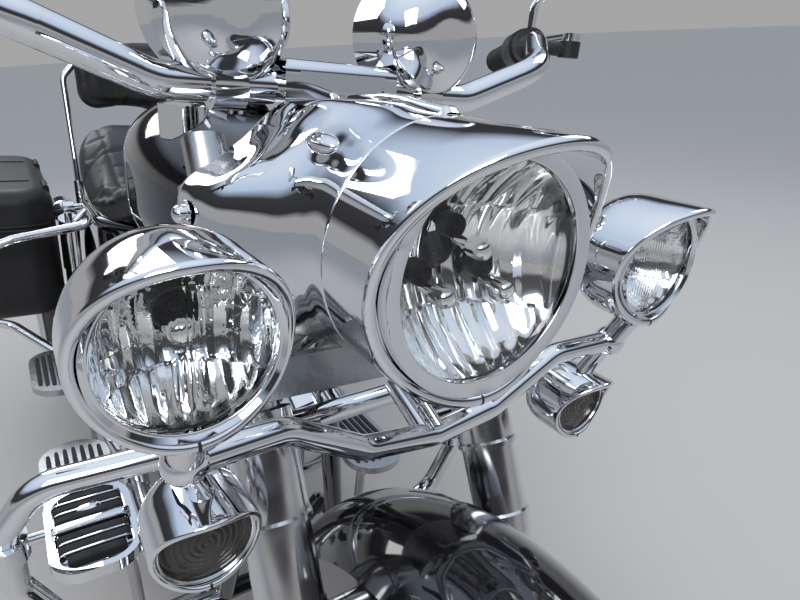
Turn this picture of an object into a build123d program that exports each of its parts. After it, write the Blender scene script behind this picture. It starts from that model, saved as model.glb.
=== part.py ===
from build123d import *
import os
from math import cos, hypot, radians, sin, sqrt, tan

# A touring motorcycle with a chromed lamp nacelle, parked on its side stand.
# Bike frame, in millimetres: X is the rider's left, Y runs to the rear, Z is up, and the
# origin is on the ground under the front axle of the upright bike. The whole bike is leaned
# onto its stand and moved to its box's bottom centre at the very end.

# Driving dimensions
WHEELBASE = 1625.0
WHEEL_RADIUS = 320.0
FRONT_TYRE_WIDTH = 130.0
REAR_TYRE_WIDTH = 180.0
FRONT_BEAD_RADIUS = 216.0
REAR_BEAD_RADIUS = 203.0
RAKE = 26.0
FORK_ANGLE = 29.25
TRAIL = 157.0
FORK_HALF_SPACING = 130.0
LEAN = 9.0

# Running and seating clearances
PIN_CLEARANCE = 0.05
SEAT_GAP = 0.3
RUN_GAP = 6.0


def on_steering(distance):
    """A point on the steering axis, so far from where the axis meets the ground."""
    return Vector(0, -TRAIL + distance * sin(radians(RAKE)), distance * cos(radians(RAKE)))


def on_fork(distance, side=1):
    """A point on a fork leg's centre line, so far above the front axle."""
    rise = distance * cos(radians(FORK_ANGLE))
    return Vector(side * FORK_HALF_SPACING, distance * sin(radians(FORK_ANGLE)), WHEEL_RADIUS + rise)


STEER_UP = Vector(0, sin(radians(RAKE)), cos(radians(RAKE)))
FORK_UP = Vector(0, sin(radians(FORK_ANGLE)), cos(radians(FORK_ANGLE)))


def rod(start, end, radius):
    """A straight round bar between two points."""
    run = Vector(*end) - Vector(*start)
    upright = (Align.CENTER, Align.CENTER, Align.MIN)
    return Plane(origin=Vector(*start), z_dir=run) * Cylinder(radius, run.length, align=upright)


def tube(points, radius, bend):
    """A round bar along straight runs joined by arcs of one bend radius."""
    path = FilletPolyline(*points, radius=bend)
    return sweep(Plane(origin=path @ 0, z_dir=path % 0) * Circle(radius), path=path)


def spun(profile, centre=(0, 0, 0)):
    """A closed profile of (x, radius) points turned about the X axis through a centre."""
    return Pos(*centre) * revolve(Plane.XZ * make_face(Polyline(*profile, close=True)), Axis.X)


def turned(profile, plane):
    """A closed profile of (radius, height) points turned about a plane's normal."""
    return plane * revolve(Plane.XZ * make_face(Polyline(*profile, close=True)), Axis.Z)


def both(shape):
    """A piece and its mirror image across the bike's middle plane, as separate solids."""
    return [shape, mirror(shape, about=Plane.YZ)]


def mirrored(points):
    """A list of points and their mirror images, from the rider's right to the left."""
    return [(-x, y, z) for x, y, z in reversed(points)] + points


def lofted(sections):
    """A loft through upright rounded rectangles (y, centre x, half width, low z, high z, corner)."""
    faces = []
    for y, x, half, low, high, corner in sections:
        plane = Plane(origin=(x, y, (low + high) / 2), x_dir=(1, 0, 0), z_dir=(0, 1, 0))
        faces.append(plane * RectangleRounded(2 * half, high - low, corner))
    return loft(faces)


def shrunk(sections, wall, front=0, rear=0):
    """The same sections one wall smaller, with the end sections run out past the loft's ends."""
    inner = []
    for y, x, half, low, high, corner in sections:
        inner.append([y, x, half - wall, low + wall, high - wall, max(corner - wall, 2)])
    inner[0][0] -= front
    inner[-1][0] += rear
    return inner


nodes = {}


# Wheels: cast spoked rims, tyres and brake discs
HUB_RADIUS = 42.0
HUB_FLANGE_RADIUS = 66.0
AXLE_RADIUS = 12.5
AXLE_HALF = 172.0
RIM_FLANGE = 10.0
RIM_WALL = 14.0
SPOKES = 9
DISC_RADIUS = 150.0
DISC_THICKNESS = 5.0
DISC_INNER = 58.0
FRONT_HUB_HALF = 72.0
REAR_HUB_HALF = 90.0


def tyre(width, bead, rim_half):
    """A tyre section turned about the axle: a crown arc, two round walls and a flat bead."""
    shoulder = WHEEL_RADIUS - 0.2 * width
    wall_mid = WHEEL_RADIUS - 0.4 * width
    lip = bead + RIM_FLANGE + SEAT_GAP
    outline = [
        Line((-rim_half, bead), (-rim_half, lip)),
        ThreePointArc((-rim_half, lip), (-width / 2, wall_mid), (-0.42 * width, shoulder)),
        ThreePointArc((-0.42 * width, shoulder), (0, WHEEL_RADIUS), (0.42 * width, shoulder)),
        ThreePointArc((0.42 * width, shoulder), (width / 2, wall_mid), (rim_half, lip)),
        Line((rim_half, lip), (rim_half, bead)),
        Line((rim_half, bead), (-rim_half, bead)),
    ]
    return revolve(Plane.XZ * make_face(outline), Axis.X)


def rim(bead, rim_half, hub_half):
    """A cast rim: a well with two flanges, tapered spokes and a bored hub."""
    ring = spun([
        (-rim_half - 6, bead + RIM_FLANGE), (-rim_half, bead + RIM_FLANGE), (-rim_half, bead),
        (rim_half, bead), (rim_half, bead + RIM_FLANGE), (rim_half + 6, bead + RIM_FLANGE),
        (rim_half + 6, bead - 4), (rim_half - 12, bead - RIM_WALL),
        (12 - rim_half, bead - RIM_WALL), (-rim_half - 6, bead - 4),
    ])
    bore = AXLE_RADIUS + PIN_CLEARANCE
    flange = hub_half - 12
    hub = spun([
        (-hub_half, bore), (-hub_half, HUB_FLANGE_RADIUS), (-flange, HUB_FLANGE_RADIUS),
        (12 - flange, HUB_RADIUS), (flange - 12, HUB_RADIUS), (flange, HUB_FLANGE_RADIUS),
        (hub_half, HUB_FLANGE_RADIUS), (hub_half, bore),
    ])
    root, tip = HUB_RADIUS - 4, bead - RIM_WALL + 3
    web = Polygon((root, -19), (root, 19), (tip, 11), (tip, -11), align=None)
    spoke = extrude(Plane.YZ * web, amount=13, both=True)
    whole = ring + hub
    for turn in range(SPOKES):
        whole += Rot(turn * 360 / SPOKES, 0, 0) * spoke
    return whole


def disc(side, hub_half):
    """A brake disc bolted flat on the hub's flange."""
    inner, outer = side * hub_half, side * (hub_half + DISC_THICKNESS)
    return spun([(inner, DISC_INNER), (inner, DISC_RADIUS), (outer, DISC_RADIUS), (outer, DISC_INNER)])


FRONT_RIM_HALF = 48.0
REAR_RIM_HALF = 66.0
front_axle_place = Pos(0, 0, WHEEL_RADIUS)
rear_axle_place = Pos(0, WHEELBASE, WHEEL_RADIUS)
nodes["front_tyre"] = front_axle_place * tyre(FRONT_TYRE_WIDTH, FRONT_BEAD_RADIUS, FRONT_RIM_HALF)
nodes["front_rim"] = front_axle_place * rim(FRONT_BEAD_RADIUS, FRONT_RIM_HALF, FRONT_HUB_HALF)
nodes["front_brake_discs"] = [front_axle_place * disc(side, FRONT_HUB_HALF) for side in (-1, 1)]
nodes["rear_tyre"] = rear_axle_place * tyre(REAR_TYRE_WIDTH, REAR_BEAD_RADIUS, REAR_RIM_HALF)
nodes["rear_rim"] = rear_axle_place * rim(REAR_BEAD_RADIUS, REAR_RIM_HALF, REAR_HUB_HALF)
nodes["rear_brake_disc"] = rear_axle_place * disc(-1, REAR_HUB_HALF)

# The belt pulley on the rear hub's left flange
PULLEY_RADIUS = 112.0
BELT_WIDTH = 24.0
BELT_THICKNESS = 5.0
pulley_out = REAR_HUB_HALF + 6 + BELT_WIDTH
nodes["rear_pulley"] = rear_axle_place * spun([
    (REAR_HUB_HALF, DISC_INNER), (REAR_HUB_HALF, PULLEY_RADIUS + 7), (REAR_HUB_HALF + 4, PULLEY_RADIUS + 7),
    (REAR_HUB_HALF + 4, PULLEY_RADIUS), (pulley_out, PULLEY_RADIUS), (pulley_out, PULLEY_RADIUS - 16),
    (REAR_HUB_HALF + 12, PULLEY_RADIUS - 16), (REAR_HUB_HALF + 12, DISC_INNER),
])


# Fork: yokes with the stem and the two inner tubes, chromed cans, cast sliders, axle
STEM_RADIUS = 14.0
FORK_TUBE_RADIUS = 20.65
SLIDER_RADIUS = 28.5
SLEEVE_RADIUS = 31.0
CAN_RADIUS = 33.0
CAN_BORE = 29.0
SLIDER_TOP = 290.0
CAN_LOW = 372.0
LOWER_YOKE = 840.0
LOWER_YOKE_THICKNESS = 35.0
UPPER_YOKE = 1015.0
UPPER_YOKE_THICKNESS = 30.0
FORK_TUBE_TOP = 735.0
YOKE_BOSS = 31.0
STEM_BOSS = 32.0
FENDER_HALF = 80.0
FENDER_BOSS = 274.0
AXLE_BOSS = 32.0
AXLE_BOSS_HALF = SLIDER_RADIUS + 1.5


def fork_at_yoke(distance):
    """How far along the fork leg, and how far behind the axis, a yoke's plane meets the leg."""
    origin = on_steering(distance)
    axle = Vector(0, 0, WHEEL_RADIUS)
    along = (origin - axle).dot(STEER_UP) / FORK_UP.dot(STEER_UP)
    back = Vector(0, cos(radians(RAKE)), -sin(radians(RAKE)))
    return along, (axle + FORK_UP * along - origin).dot(back)


def yoke(distance, thickness, extra=0.0):
    """A yoke plate: the straight-sided hull round the stem's boss and the two legs' bosses."""
    offset = fork_at_yoke(distance + thickness / 2)[1]
    circles = [Pos(side * FORK_HALF_SPACING, offset) * Circle(YOKE_BOSS + extra) for side in (-1, 1)]
    circles.append(Circle(STEM_BOSS + extra))
    outline = make_hull([edge for circle in circles for edge in circle.edges()])
    plane = Plane(origin=on_steering(distance), x_dir=(1, 0, 0), z_dir=STEER_UP)
    return extrude(plane * outline, amount=thickness)


def fork_plane(distance, side=1):
    """A plane across a fork leg, its normal up the leg."""
    return Plane(origin=on_fork(distance, side), x_dir=(1, 0, 0), z_dir=FORK_UP)


yokes = yoke(LOWER_YOKE, LOWER_YOKE_THICKNESS) + yoke(UPPER_YOKE, UPPER_YOKE_THICKNESS)
yokes += rod(on_steering(LOWER_YOKE), on_steering(UPPER_YOKE + UPPER_YOKE_THICKNESS + 8), STEM_RADIUS)
for side in (-1, 1):
    yokes += rod(on_fork(SLIDER_TOP, side), on_fork(FORK_TUBE_TOP, side), FORK_TUBE_RADIUS)
nodes["fork_yokes"] = yokes


def slider(side):
    """A cast fork slider: a turned leg with a seal collar, an axle boss and a fender boss."""
    leg = rod(on_fork(-20, side), on_fork(SLIDER_TOP, side), SLIDER_RADIUS)
    leg += rod(on_fork(SLIDER_TOP - 16, side), on_fork(SLIDER_TOP, side), SLEEVE_RADIUS)
    inner, outer = FORK_HALF_SPACING - AXLE_BOSS_HALF, FORK_HALF_SPACING + AXLE_BOSS_HALF
    leg += rod((side * inner, 0, WHEEL_RADIUS), (side * outer, 0, WHEEL_RADIUS), AXLE_BOSS)
    fender_bolt = on_fork(FENDER_BOSS, side)
    boss_end = (side * (FENDER_HALF + SEAT_GAP), fender_bolt.Y, fender_bolt.Z)
    leg += rod(fender_bolt, boss_end, 12)
    bore = AXLE_RADIUS + PIN_CLEARANCE
    return leg - rod((side * 60, 0, WHEEL_RADIUS), (side * 190, 0, WHEEL_RADIUS), bore)


def can(side, low, high, radius):
    """A chromed sleeve round a fork leg, with a rolled lip at its foot."""
    shell = [(CAN_BORE, 0), (radius + 1.5, 0), (radius + 1.5, 5), (radius, 8), (radius, high - low)]
    return turned(shell + [(CAN_BORE, high - low)], fork_plane(low, side))


can_top = fork_at_yoke(LOWER_YOKE)[0] - 10
nodes["fork_sliders"] = [slider(side) for side in (-1, 1)]
nodes["fork_cans"] = [can(side, CAN_LOW, can_top, CAN_RADIUS) for side in (-1, 1)] + [
    can(side, SLIDER_TOP + SEAT_GAP, CAN_LOW - SEAT_GAP, SLEEVE_RADIUS) for side in (-1, 1)]

# Front axle with its spacers between the hub and the sliders
axle = rod((-AXLE_HALF, 0, WHEEL_RADIUS), (AXLE_HALF, 0, WHEEL_RADIUS), AXLE_RADIUS)
for side in (-1, 1):
    spacer_in = side * (FRONT_HUB_HALF + 0.5)
    spacer_out = side * (FORK_HALF_SPACING - AXLE_BOSS_HALF)
    axle += rod((spacer_in, 0, WHEEL_RADIUS), (spacer_out, 0, WHEEL_RADIUS), AXLE_RADIUS + 7)
    nut_in = side * (FORK_HALF_SPACING + AXLE_BOSS_HALF)
    axle += rod((nut_in, 0, WHEEL_RADIUS), (side * AXLE_HALF, 0, WHEEL_RADIUS), AXLE_RADIUS + 9)
nodes["front_axle"] = axle


# Front brake calipers on the rear of the sliders, each straddling its disc
CALIPER_REACH = 132.0
CALIPER_DEPTH = 72.0
CALIPER_LEAN = 20.0


def caliper(side, hub_half, slot_gap=3.0):
    """A caliper block on its disc's rim, with a slot that the disc runs in."""
    low = hub_half - 22
    high = FORK_HALF_SPACING - SLIDER_RADIUS + 2
    block = Pos(0, CALIPER_REACH, 0) * Box(high - low, CALIPER_DEPTH, 112)
    block = fillet(block.edges().filter_by(Axis.X), 16)
    block = Pos(side * (low + high) / 2, 0, 0) * block
    slot_centre = side * (hub_half + DISC_THICKNESS / 2)
    disc_room = Cylinder(DISC_RADIUS + RUN_GAP, DISC_THICKNESS + 2 * slot_gap)
    return block - Pos(slot_centre, 0, 0) * Rot(0, 90, 0) * disc_room


calipers = []
for side in (-1, 1):
    held = front_axle_place * Rot(CALIPER_LEAN, 0, 0) * caliper(side, FRONT_HUB_HALF)
    for height in (-30, 34):
        lug_y = CALIPER_REACH * cos(radians(CALIPER_LEAN)) - 8 - height * 0.3
        lug = Vector(side * 98, lug_y, WHEEL_RADIUS + 45 + height)
        held += rod(lug, on_fork(lug.Z - WHEEL_RADIUS + 18, side), 11)
    calipers.append(held - rod(on_fork(-20, side), on_fork(SLIDER_TOP, side), SLIDER_RADIUS + SEAT_GAP))
nodes["front_calipers"] = calipers


# Front fender: a crowned hoop with deep skirts, revolved about the axle
FENDER_WALL = 2.5
FENDER_SKIRT = 262.0
FENDER_SHOULDER = 312.0
FENDER_CROWN = 354.0
FENDER_FRONT_ARC = 66.0
FENDER_REAR_ARC = 86.0


def hoop_face(half, skirt, shoulder, crown):
    """A fender's filled section: two straight skirts under one crown arc."""
    return make_face([
        Line((-half, skirt), (-half, shoulder)),
        ThreePointArc((-half, shoulder), (0, crown), (half, shoulder)),
        Line((half, shoulder), (half, skirt)),
        Line((half, skirt), (-half, skirt)),
    ])


def fender(half, skirt, shoulder, crown, wall, front_arc, rear_arc):
    """A fender shell swept round its axle from its front arc to its rear arc, from straight up."""
    outer = hoop_face(half, skirt, shoulder, crown)
    inner = hoop_face(half - wall, skirt - 5, shoulder, crown - wall)
    section = Rot(-rear_arc, 0, 0) * (Plane.XZ * (outer - inner))
    return revolve(section, Axis.X, front_arc + rear_arc)


nodes["front_fender"] = front_axle_place * fender(
    FENDER_HALF, FENDER_SKIRT, FENDER_SHOULDER, FENDER_CROWN, FENDER_WALL, FENDER_FRONT_ARC, FENDER_REAR_ARC)


# Lamps: visored shells with a curved bite taken out of the front, bowls and glasses
def round_back(radius, depth, corner):
    """A quarter round and the flat inside it, which close a turned shell at its back."""
    middle = corner * cos(radians(45))
    return [
        ThreePointArc((radius, depth - corner), (radius - corner + middle, depth - corner + middle),
                      (radius - corner, depth)),
        Line((radius - corner, depth), (0, depth)),
    ]


def visored_shell(radius, wall, visor, barrel, depth, lip=4.0):
    """A lamp shell on the Y axis, its mouth at Y 0: a barrel with a domed back and a visor.
    The front is cut by one cylinder, so the rim stays level below and runs out to a peak on top."""
    outline = [
        Line((0, -visor), (radius, -visor)),
        Line((radius, -visor), (radius, barrel)),
        *round_back(radius, depth, depth - barrel),
        Line((0, depth), (0, -visor)),
    ]
    inner = radius - wall
    cavity = [
        Line((0, -visor - 1), (inner, -visor - 1)),
        Line((inner, -visor - 1), (inner, barrel)),
        *round_back(inner, depth - wall, depth - wall - barrel),
        Line((0, depth - wall), (0, -visor - 1)),
    ]
    shell = revolve(make_face(outline), Axis.Y) - revolve(make_face(cavity), Axis.Y)
    return shell - visor_bite(radius, visor, lip)


def visor_bite(radius, visor, lip):
    """The cylinder across X whose surface passes the rim's lowest point and the visor's tip."""
    low_y, low_z = -lip, -radius
    tip_y, tip_z = -visor, radius
    chord = hypot(tip_y - low_y, tip_z - low_z)
    bite = 0.86 * chord
    stand_off = sqrt(bite**2 - chord**2 / 4)
    run_y, run_z = (tip_y - low_y) / chord, (tip_z - low_z) / chord
    centre_y = (low_y + tip_y) / 2 - run_z * stand_off
    centre_z = (low_z + tip_z) / 2 + run_y * stand_off
    return Pos(0, centre_y, centre_z) * Rot(0, 90, 0) * Cylinder(bite, 4 * radius)


def lamp_bowl(radius, depth, wall=2.0):
    """A reflector bowl behind a glass, rounded to a small flat and turned about the Y axis."""
    outline = [
        *round_back(radius - wall, depth - wall, depth - wall),
        Line((0, depth - wall), (0, depth)),
        *round_back(radius, depth, depth),
        Line((radius, 0), (radius - wall, 0)),
    ]
    return revolve(make_face(outline), Axis.Y)


def lamp_glass(radius, bulge, thickness=4.0):
    """A glass disc with a gently domed front face, turned about the Y axis."""
    outline = [
        ThreePointArc((0, -bulge), (radius * 0.55, -bulge * 0.72), (radius, 0)),
        Line((radius, 0), (radius, thickness)),
        Line((radius, thickness), (0, thickness)),
        Line((0, thickness), (0, -bulge)),
    ]
    return revolve(make_face(outline), Axis.Y)


GLASS_SET_BACK = 6.0
# Lamp table: height, mouth's y, x, shell radius, visor, barrel length, shell depth, glass radius
LAMP_WALL = 2.5
HEADLAMP = dict(z=900.0, y=78.0, x=0.0, radius=108.0, visor=52.0, glass=86.0)
SPOT = dict(z=884.0, y=80.0, x=219.0, radius=62.0, visor=30.0, barrel=34.0, depth=84.0, glass=50.0)
SIGNAL = dict(z=708.0, y=122.0, x=206.0, radius=40.5, visor=26.0, barrel=34.0, depth=62.0, glass=33.0)


def lamp_place(lamp, side=0):
    """A lamp's place: its mouth's centre, looking forward."""
    return Pos(side * lamp["x"], lamp["y"], lamp["z"])


def small_shell(lamp):
    """A passing lamp's or signal's shell, with the bezel that holds its glass."""
    shell = visored_shell(lamp["radius"], LAMP_WALL, lamp["visor"], lamp["barrel"], lamp["depth"])
    ring = Cylinder(lamp["radius"] - LAMP_WALL + 1, 11) - Cylinder(lamp["glass"] + SEAT_GAP, 11)
    return shell + Pos(0, GLASS_SET_BACK + 1.5, 0) * Rot(-90, 0, 0) * ring


nodes["lamp_shells"] = [
    lamp_place(lamp, side) * small_shell(lamp) for lamp in (SPOT, SIGNAL) for side in (-1, 1)]

# Headlamp trim: the nacelle's front ring, with the visor, back to the seam
SEAM_Y = 150.0
NACELLE_WALL = 3.0
HEADLAMP_BEZEL = 6.0
trim_radius = HEADLAMP["radius"]
barrel_back = SEAM_Y - HEADLAMP["y"]
trim = revolve(make_face(Polyline(
    (trim_radius - NACELLE_WALL, -HEADLAMP["visor"]), (trim_radius, -HEADLAMP["visor"]),
    (trim_radius, barrel_back), (trim_radius - NACELLE_WALL, barrel_back),
    (trim_radius - NACELLE_WALL, HEADLAMP_BEZEL + 8), (HEADLAMP["glass"] + SEAT_GAP, HEADLAMP_BEZEL + 8),
    (HEADLAMP["glass"] + SEAT_GAP, HEADLAMP_BEZEL - 6), (trim_radius - NACELLE_WALL, HEADLAMP_BEZEL - 10),
    close=True)), Axis.Y)
nodes["headlamp_trim"] = lamp_place(HEADLAMP) * (trim - visor_bite(trim_radius, HEADLAMP["visor"], 4.0))

# Glasses and bowls share their forms; each sits in its own shell
headlamp_glass = Pos(0, GLASS_SET_BACK, 0) * lamp_glass(HEADLAMP["glass"], 9)
nodes["lamp_glasses"] = [lamp_place(HEADLAMP) * headlamp_glass] + [
    lamp_place(SPOT, side) * Pos(0, GLASS_SET_BACK, 0) * lamp_glass(SPOT["glass"], 6) for side in (-1, 1)]
nodes["signal_lenses"] = [
    lamp_place(SIGNAL, side) * Pos(0, GLASS_SET_BACK, 0) * lamp_glass(SIGNAL["glass"], 4) for side in (-1, 1)]
bowl_back = GLASS_SET_BACK + 4.0 + SEAT_GAP
nodes["lamp_bowls"] = [lamp_place(HEADLAMP) * Pos(0, bowl_back, 0) * lamp_bowl(HEADLAMP["glass"], 70)] + [
    lamp_place(SPOT, side) * Pos(0, bowl_back, 0) * lamp_bowl(SPOT["glass"], 44) for side in (-1, 1)]


# Nacelle: a hollow chromed hood from the headlamp's seam back round the fork
# Each row: y, centre x, half width, low z, high z, corner radius
HOOD_FLOOR_END = 205.0
NACELLE_BOSS = 650.0
hood_low = HEADLAMP["z"] - trim_radius
HOOD_OPEN_TO = 806.0
hood_high = HEADLAMP["z"] + trim_radius
NACELLE_SECTIONS = [
    [SEAM_Y, 0, trim_radius, hood_low, hood_high, trim_radius - 1],
    [192, 0, 126, 783, 1014, 92],
    [250, 0, 150, 774, 1013, 62],
    [326, 0, 166, 770, 1003, 48],
]
hood = lofted(NACELLE_SECTIONS) - lofted(shrunk(NACELLE_SECTIONS, NACELLE_WALL, 0.5, 0.5))
hood_floor = Box(400, 300, 200, align=(Align.CENTER, Align.MIN, Align.MAX))
hood -= Pos(0, HOOD_FLOOR_END, HOOD_OPEN_TO) * hood_floor
hood -= yoke(LOWER_YOKE - RUN_GAP, LOWER_YOKE_THICKNESS + 2 * RUN_GAP, RUN_GAP)
for side in (-1, 1):
    hood -= rod(on_fork(can_top - 60, side), on_fork(can_top + 95, side), YOKE_BOSS + RUN_GAP)

# Lamp bar: one tube under the nacelle with a lamp stem and a signal stem at each end
BAR_RADIUS = 11.0
STEM_BAR = 9.0
BAR_END = (SPOT["x"], 116, 789)
bar_route = [(0, 130, 731), (72, 132, 739), (146, 128, 783), BAR_END]
lamp_bar = tube([(-x, y, z) for x, y, z in bar_route[:0:-1]] + bar_route, BAR_RADIUS, 34)
for side in (-1, 1):
    bar_end = (side * BAR_END[0], *BAR_END[1:])
    shell_foot = SPOT["z"] - SPOT["radius"] - SEAT_GAP
    lamp_bar += Pos(*bar_end) * Sphere(BAR_RADIUS + 5)
    lamp_bar += rod(bar_end, (bar_end[0], 100, shell_foot), STEM_BAR + 3)
    lamp_bar += rod(bar_end, (side * SIGNAL["x"], 130, SIGNAL["z"] + SIGNAL["radius"] + SEAT_GAP), STEM_BAR)
lower_yoke_front = on_steering(LOWER_YOKE)
lamp_bar += rod(bar_route[0], (0, lower_yoke_front.Y - 20, lower_yoke_front.Z), 14)
lamp_bar -= yoke(LOWER_YOKE, LOWER_YOKE_THICKNESS)
for side in (-1, 1):
    lamp_bar -= lamp_place(SPOT, side) * (Rot(-90, 0, 0) * Cylinder(SPOT["radius"] + SEAT_GAP, 200))
    lamp_bar -= lamp_place(SIGNAL, side) * (Rot(-90, 0, 0) * Cylinder(SIGNAL["radius"] + SEAT_GAP, 200))
nodes["lamp_bar"] = lamp_bar


# Handlebar: one fat tube on two risers, swept up and back to the grips
HANDLEBAR_RADIUS = 16.0
RISER_X = 44.5
BAR_HEIGHT = 1012.0
BAR_Y = 350.0
GRIP_RADIUS = 19.0
GRIP_LENGTH = 125.0
bar_shape = [
    (172, BAR_Y, BAR_HEIGHT), (286, BAR_Y - 6, BAR_HEIGHT + 44), (350, BAR_Y + 66, BAR_HEIGHT + 80),
    (455, BAR_Y + 254, BAR_HEIGHT + 60),
]
handlebar = tube(mirrored(bar_shape), HANDLEBAR_RADIUS, 74)
# One clamp block with a shallow recess in its face stands on two risers from the upper yoke
CLAMP_HALF = 62.0
CLAMP_SIZE = 50.0
POD_X = 111.0
POD_RADIUS = 62.0
POD_DEPTH = 96.0
POD_HEIGHT = BAR_HEIGHT + 60
riser_foot = on_steering(UPPER_YOKE + UPPER_YOKE_THICKNESS)
block = Box(2 * CLAMP_HALF, CLAMP_SIZE, CLAMP_SIZE)
block = fillet(block.edges().filter_by(Axis.X), 13)
block -= Pos(0, -CLAMP_SIZE / 2, 1) * Box(2 * CLAMP_HALF - 30, 5, CLAMP_SIZE - 22)
clamp = Pos(0, BAR_Y, BAR_HEIGHT + 2) * block
for side in (-1, 1):
    foot = (side * RISER_X, riser_foot.Y + 26, riser_foot.Z - 13)
    clamp += rod(foot, (side * RISER_X, BAR_Y, BAR_HEIGHT), 17)
    clamp -= Pos(side * POD_X, BAR_Y, POD_HEIGHT) * Rot(90, 0, 0) * Cylinder(POD_RADIUS + 1, 2 * POD_DEPTH)
bar_bore = Cylinder(HANDLEBAR_RADIUS + PIN_CLEARANCE, 4 * CLAMP_HALF)
clamp -= Pos(0, BAR_Y, BAR_HEIGHT) * Rot(0, 90, 0) * bar_bore
nodes["bar_clamps"] = clamp - yoke(UPPER_YOKE, UPPER_YOKE_THICKNESS)

clamp_notch = Pos(0, BAR_Y, BAR_HEIGHT - 10) * Box(2 * CLAMP_HALF + 8, CLAMP_SIZE + 12, 90)
nodes["nacelle"] = hood - clamp_notch
hood_room = lofted(shrunk(NACELLE_SECTIONS, NACELLE_WALL + SEAT_GAP, 0.5, 0.5))
for side in (-1, 1):
    tube_at = on_fork(NACELLE_BOSS, side)
    nodes["fork_yokes"] += rod(tube_at, (side * 220, tube_at.Y, tube_at.Z), 9) & hood_room

# Grip direction at the bar's outer end
grip_inner, grip_outer = Vector(*bar_shape[-2]), Vector(*bar_shape[-1])
grip_run = (grip_outer - grip_inner).normalized()


def on_grip(distance, side):
    """A point on the bar's outer straight, measured inward from its end."""
    point = grip_outer - grip_run * distance
    return Vector(side * point.X, point.Y, point.Z)


def along_bar(start, end, radius, side, bore=HANDLEBAR_RADIUS + PIN_CLEARANCE):
    """A ring round the bar's outer straight, between two distances from its end."""
    ring = rod(on_grip(start, side), on_grip(end, side), radius)
    return ring - rod(on_grip(start - 20, side), on_grip(end + 20, side), bore)


# A blind bore in each end of the bar takes a bar-end plug
END_BORE = 9.0
END_BORE_DEPTH = 60.0
for side in (-1, 1):
    handlebar -= rod(on_grip(-2, side), on_grip(END_BORE_DEPTH, side), END_BORE)
nodes["handlebar"] = handlebar
nodes["grips"] = [along_bar(-1, GRIP_LENGTH, GRIP_RADIUS, side) for side in (-1, 1)]

# Hand controls: a switch housing round the bar with a perch, and the lever ahead of the grip
perches, levers = [], []
LEVER_REACH = 62.0
PERCH_MIDDLE = GRIP_LENGTH + 56
for side in (-1, 1):
    housing = along_bar(GRIP_LENGTH + 1, GRIP_LENGTH + 42, 26, side)
    perch_at = on_grip(PERCH_MIDDLE, side)
    perch = along_bar(PERCH_MIDDLE - 12, PERCH_MIDDLE + 12, 23, side)
    pivot = perch_at + Vector(side * grip_run.Y, -grip_run.X, 0) * LEVER_REACH
    bar_run = (on_grip(GRIP_LENGTH, side), on_grip(GRIP_LENGTH + 120, side))
    perch += rod(perch_at, pivot, 10) - rod(*bar_run, HANDLEBAR_RADIUS + PIN_CLEARANCE)
    perch += Plane(origin=pivot, z_dir=(0, 0, 1)) * Cylinder(15, 22)
    perches += [housing, perch]
    blade_low = pivot + Vector(0, 0, 11 + SEAT_GAP)
    tip = on_grip(12, side) + Vector(side * grip_run.Y, -grip_run.X, 0) * (LEVER_REACH - 4)
    tip.Z = blade_low.Z + 6
    blade = rod((pivot.X, pivot.Y, tip.Z), tip, 6) + Pos(*tip) * Sphere(9.5)
    blade += rod(blade_low, blade_low + Vector(0, 0, 10), 12)
    levers.append(blade)
nodes["control_housings"] = perches
nodes["levers"] = levers

# Speaker pods on the bar's middle run, each with its own ring round the bar
bar_clearance = Rot(0, 90, 0) * Cylinder(HANDLEBAR_RADIUS + SEAT_GAP, 400)
pods = []
for side in (-1, 1):
    pod = revolve(make_face([
        Line((0, POD_DEPTH / 2), (0, -POD_DEPTH / 2)),
        Line((0, -POD_DEPTH / 2), (POD_RADIUS, -POD_DEPTH / 2)),
        Line((POD_RADIUS, -POD_DEPTH / 2), (POD_RADIUS, 0)),
        *round_back(POD_RADIUS, POD_DEPTH / 2, POD_DEPTH / 2),
    ]), Axis.Y)
    pod = Pos(side * POD_X, BAR_Y + 4, POD_HEIGHT) * Rot(0, 0, 180) * pod
    pod += Pos(side * POD_X, BAR_Y, BAR_HEIGHT) * Rot(0, 90, 0) * Cylinder(HANDLEBAR_RADIUS + 7, 30)
    pods.append(pod - Pos(0, BAR_Y, BAR_HEIGHT) * bar_clearance)
nodes["speaker_pods"] = pods

# Mirrors: a stem from each perch and a rounded head
MIRROR = dict(x=430.0, y=420.0, z=1225.0, half=78.0, height=92.0, depth=26.0)
mirror_heads, mirror_glasses = [], []
for side in (-1, 1):
    perch_top = on_grip(PERCH_MIDDLE, side) + Vector(0, 0, 23 + 2 * SEAT_GAP)
    head_at = Vector(side * MIRROR["x"], MIRROR["y"], MIRROR["z"])
    oval = RectangleRounded(2 * MIRROR["half"], MIRROR["height"], 0.48 * MIRROR["height"])
    face = Plane(origin=head_at, x_dir=(1, 0, 0), z_dir=(0, 1, 0))
    head = extrude(face * oval, amount=-MIRROR["depth"])
    head = fillet(head.faces().sort_by(Axis.Y)[0].edges(), 11)
    recess = offset(oval, -4)
    head -= extrude(face * recess, amount=-3)
    head += tube([tuple(perch_top), (perch_top.X, perch_top.Y, perch_top.Z + 34),
                  (head_at.X - side * 20, head_at.Y - 16, head_at.Z - MIRROR["height"] / 2 + 4)], 6, 24)
    mirror_heads.append(head)
    glass_face = Plane(origin=head_at - Vector(0, 3 - SEAT_GAP, 0), x_dir=(1, 0, 0), z_dir=(0, 1, 0))
    mirror_glasses.append(extrude(glass_face * offset(recess, -SEAT_GAP), amount=2.2))
nodes["mirrors"] = mirror_heads
nodes["mirror_glass"] = mirror_glasses


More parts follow.
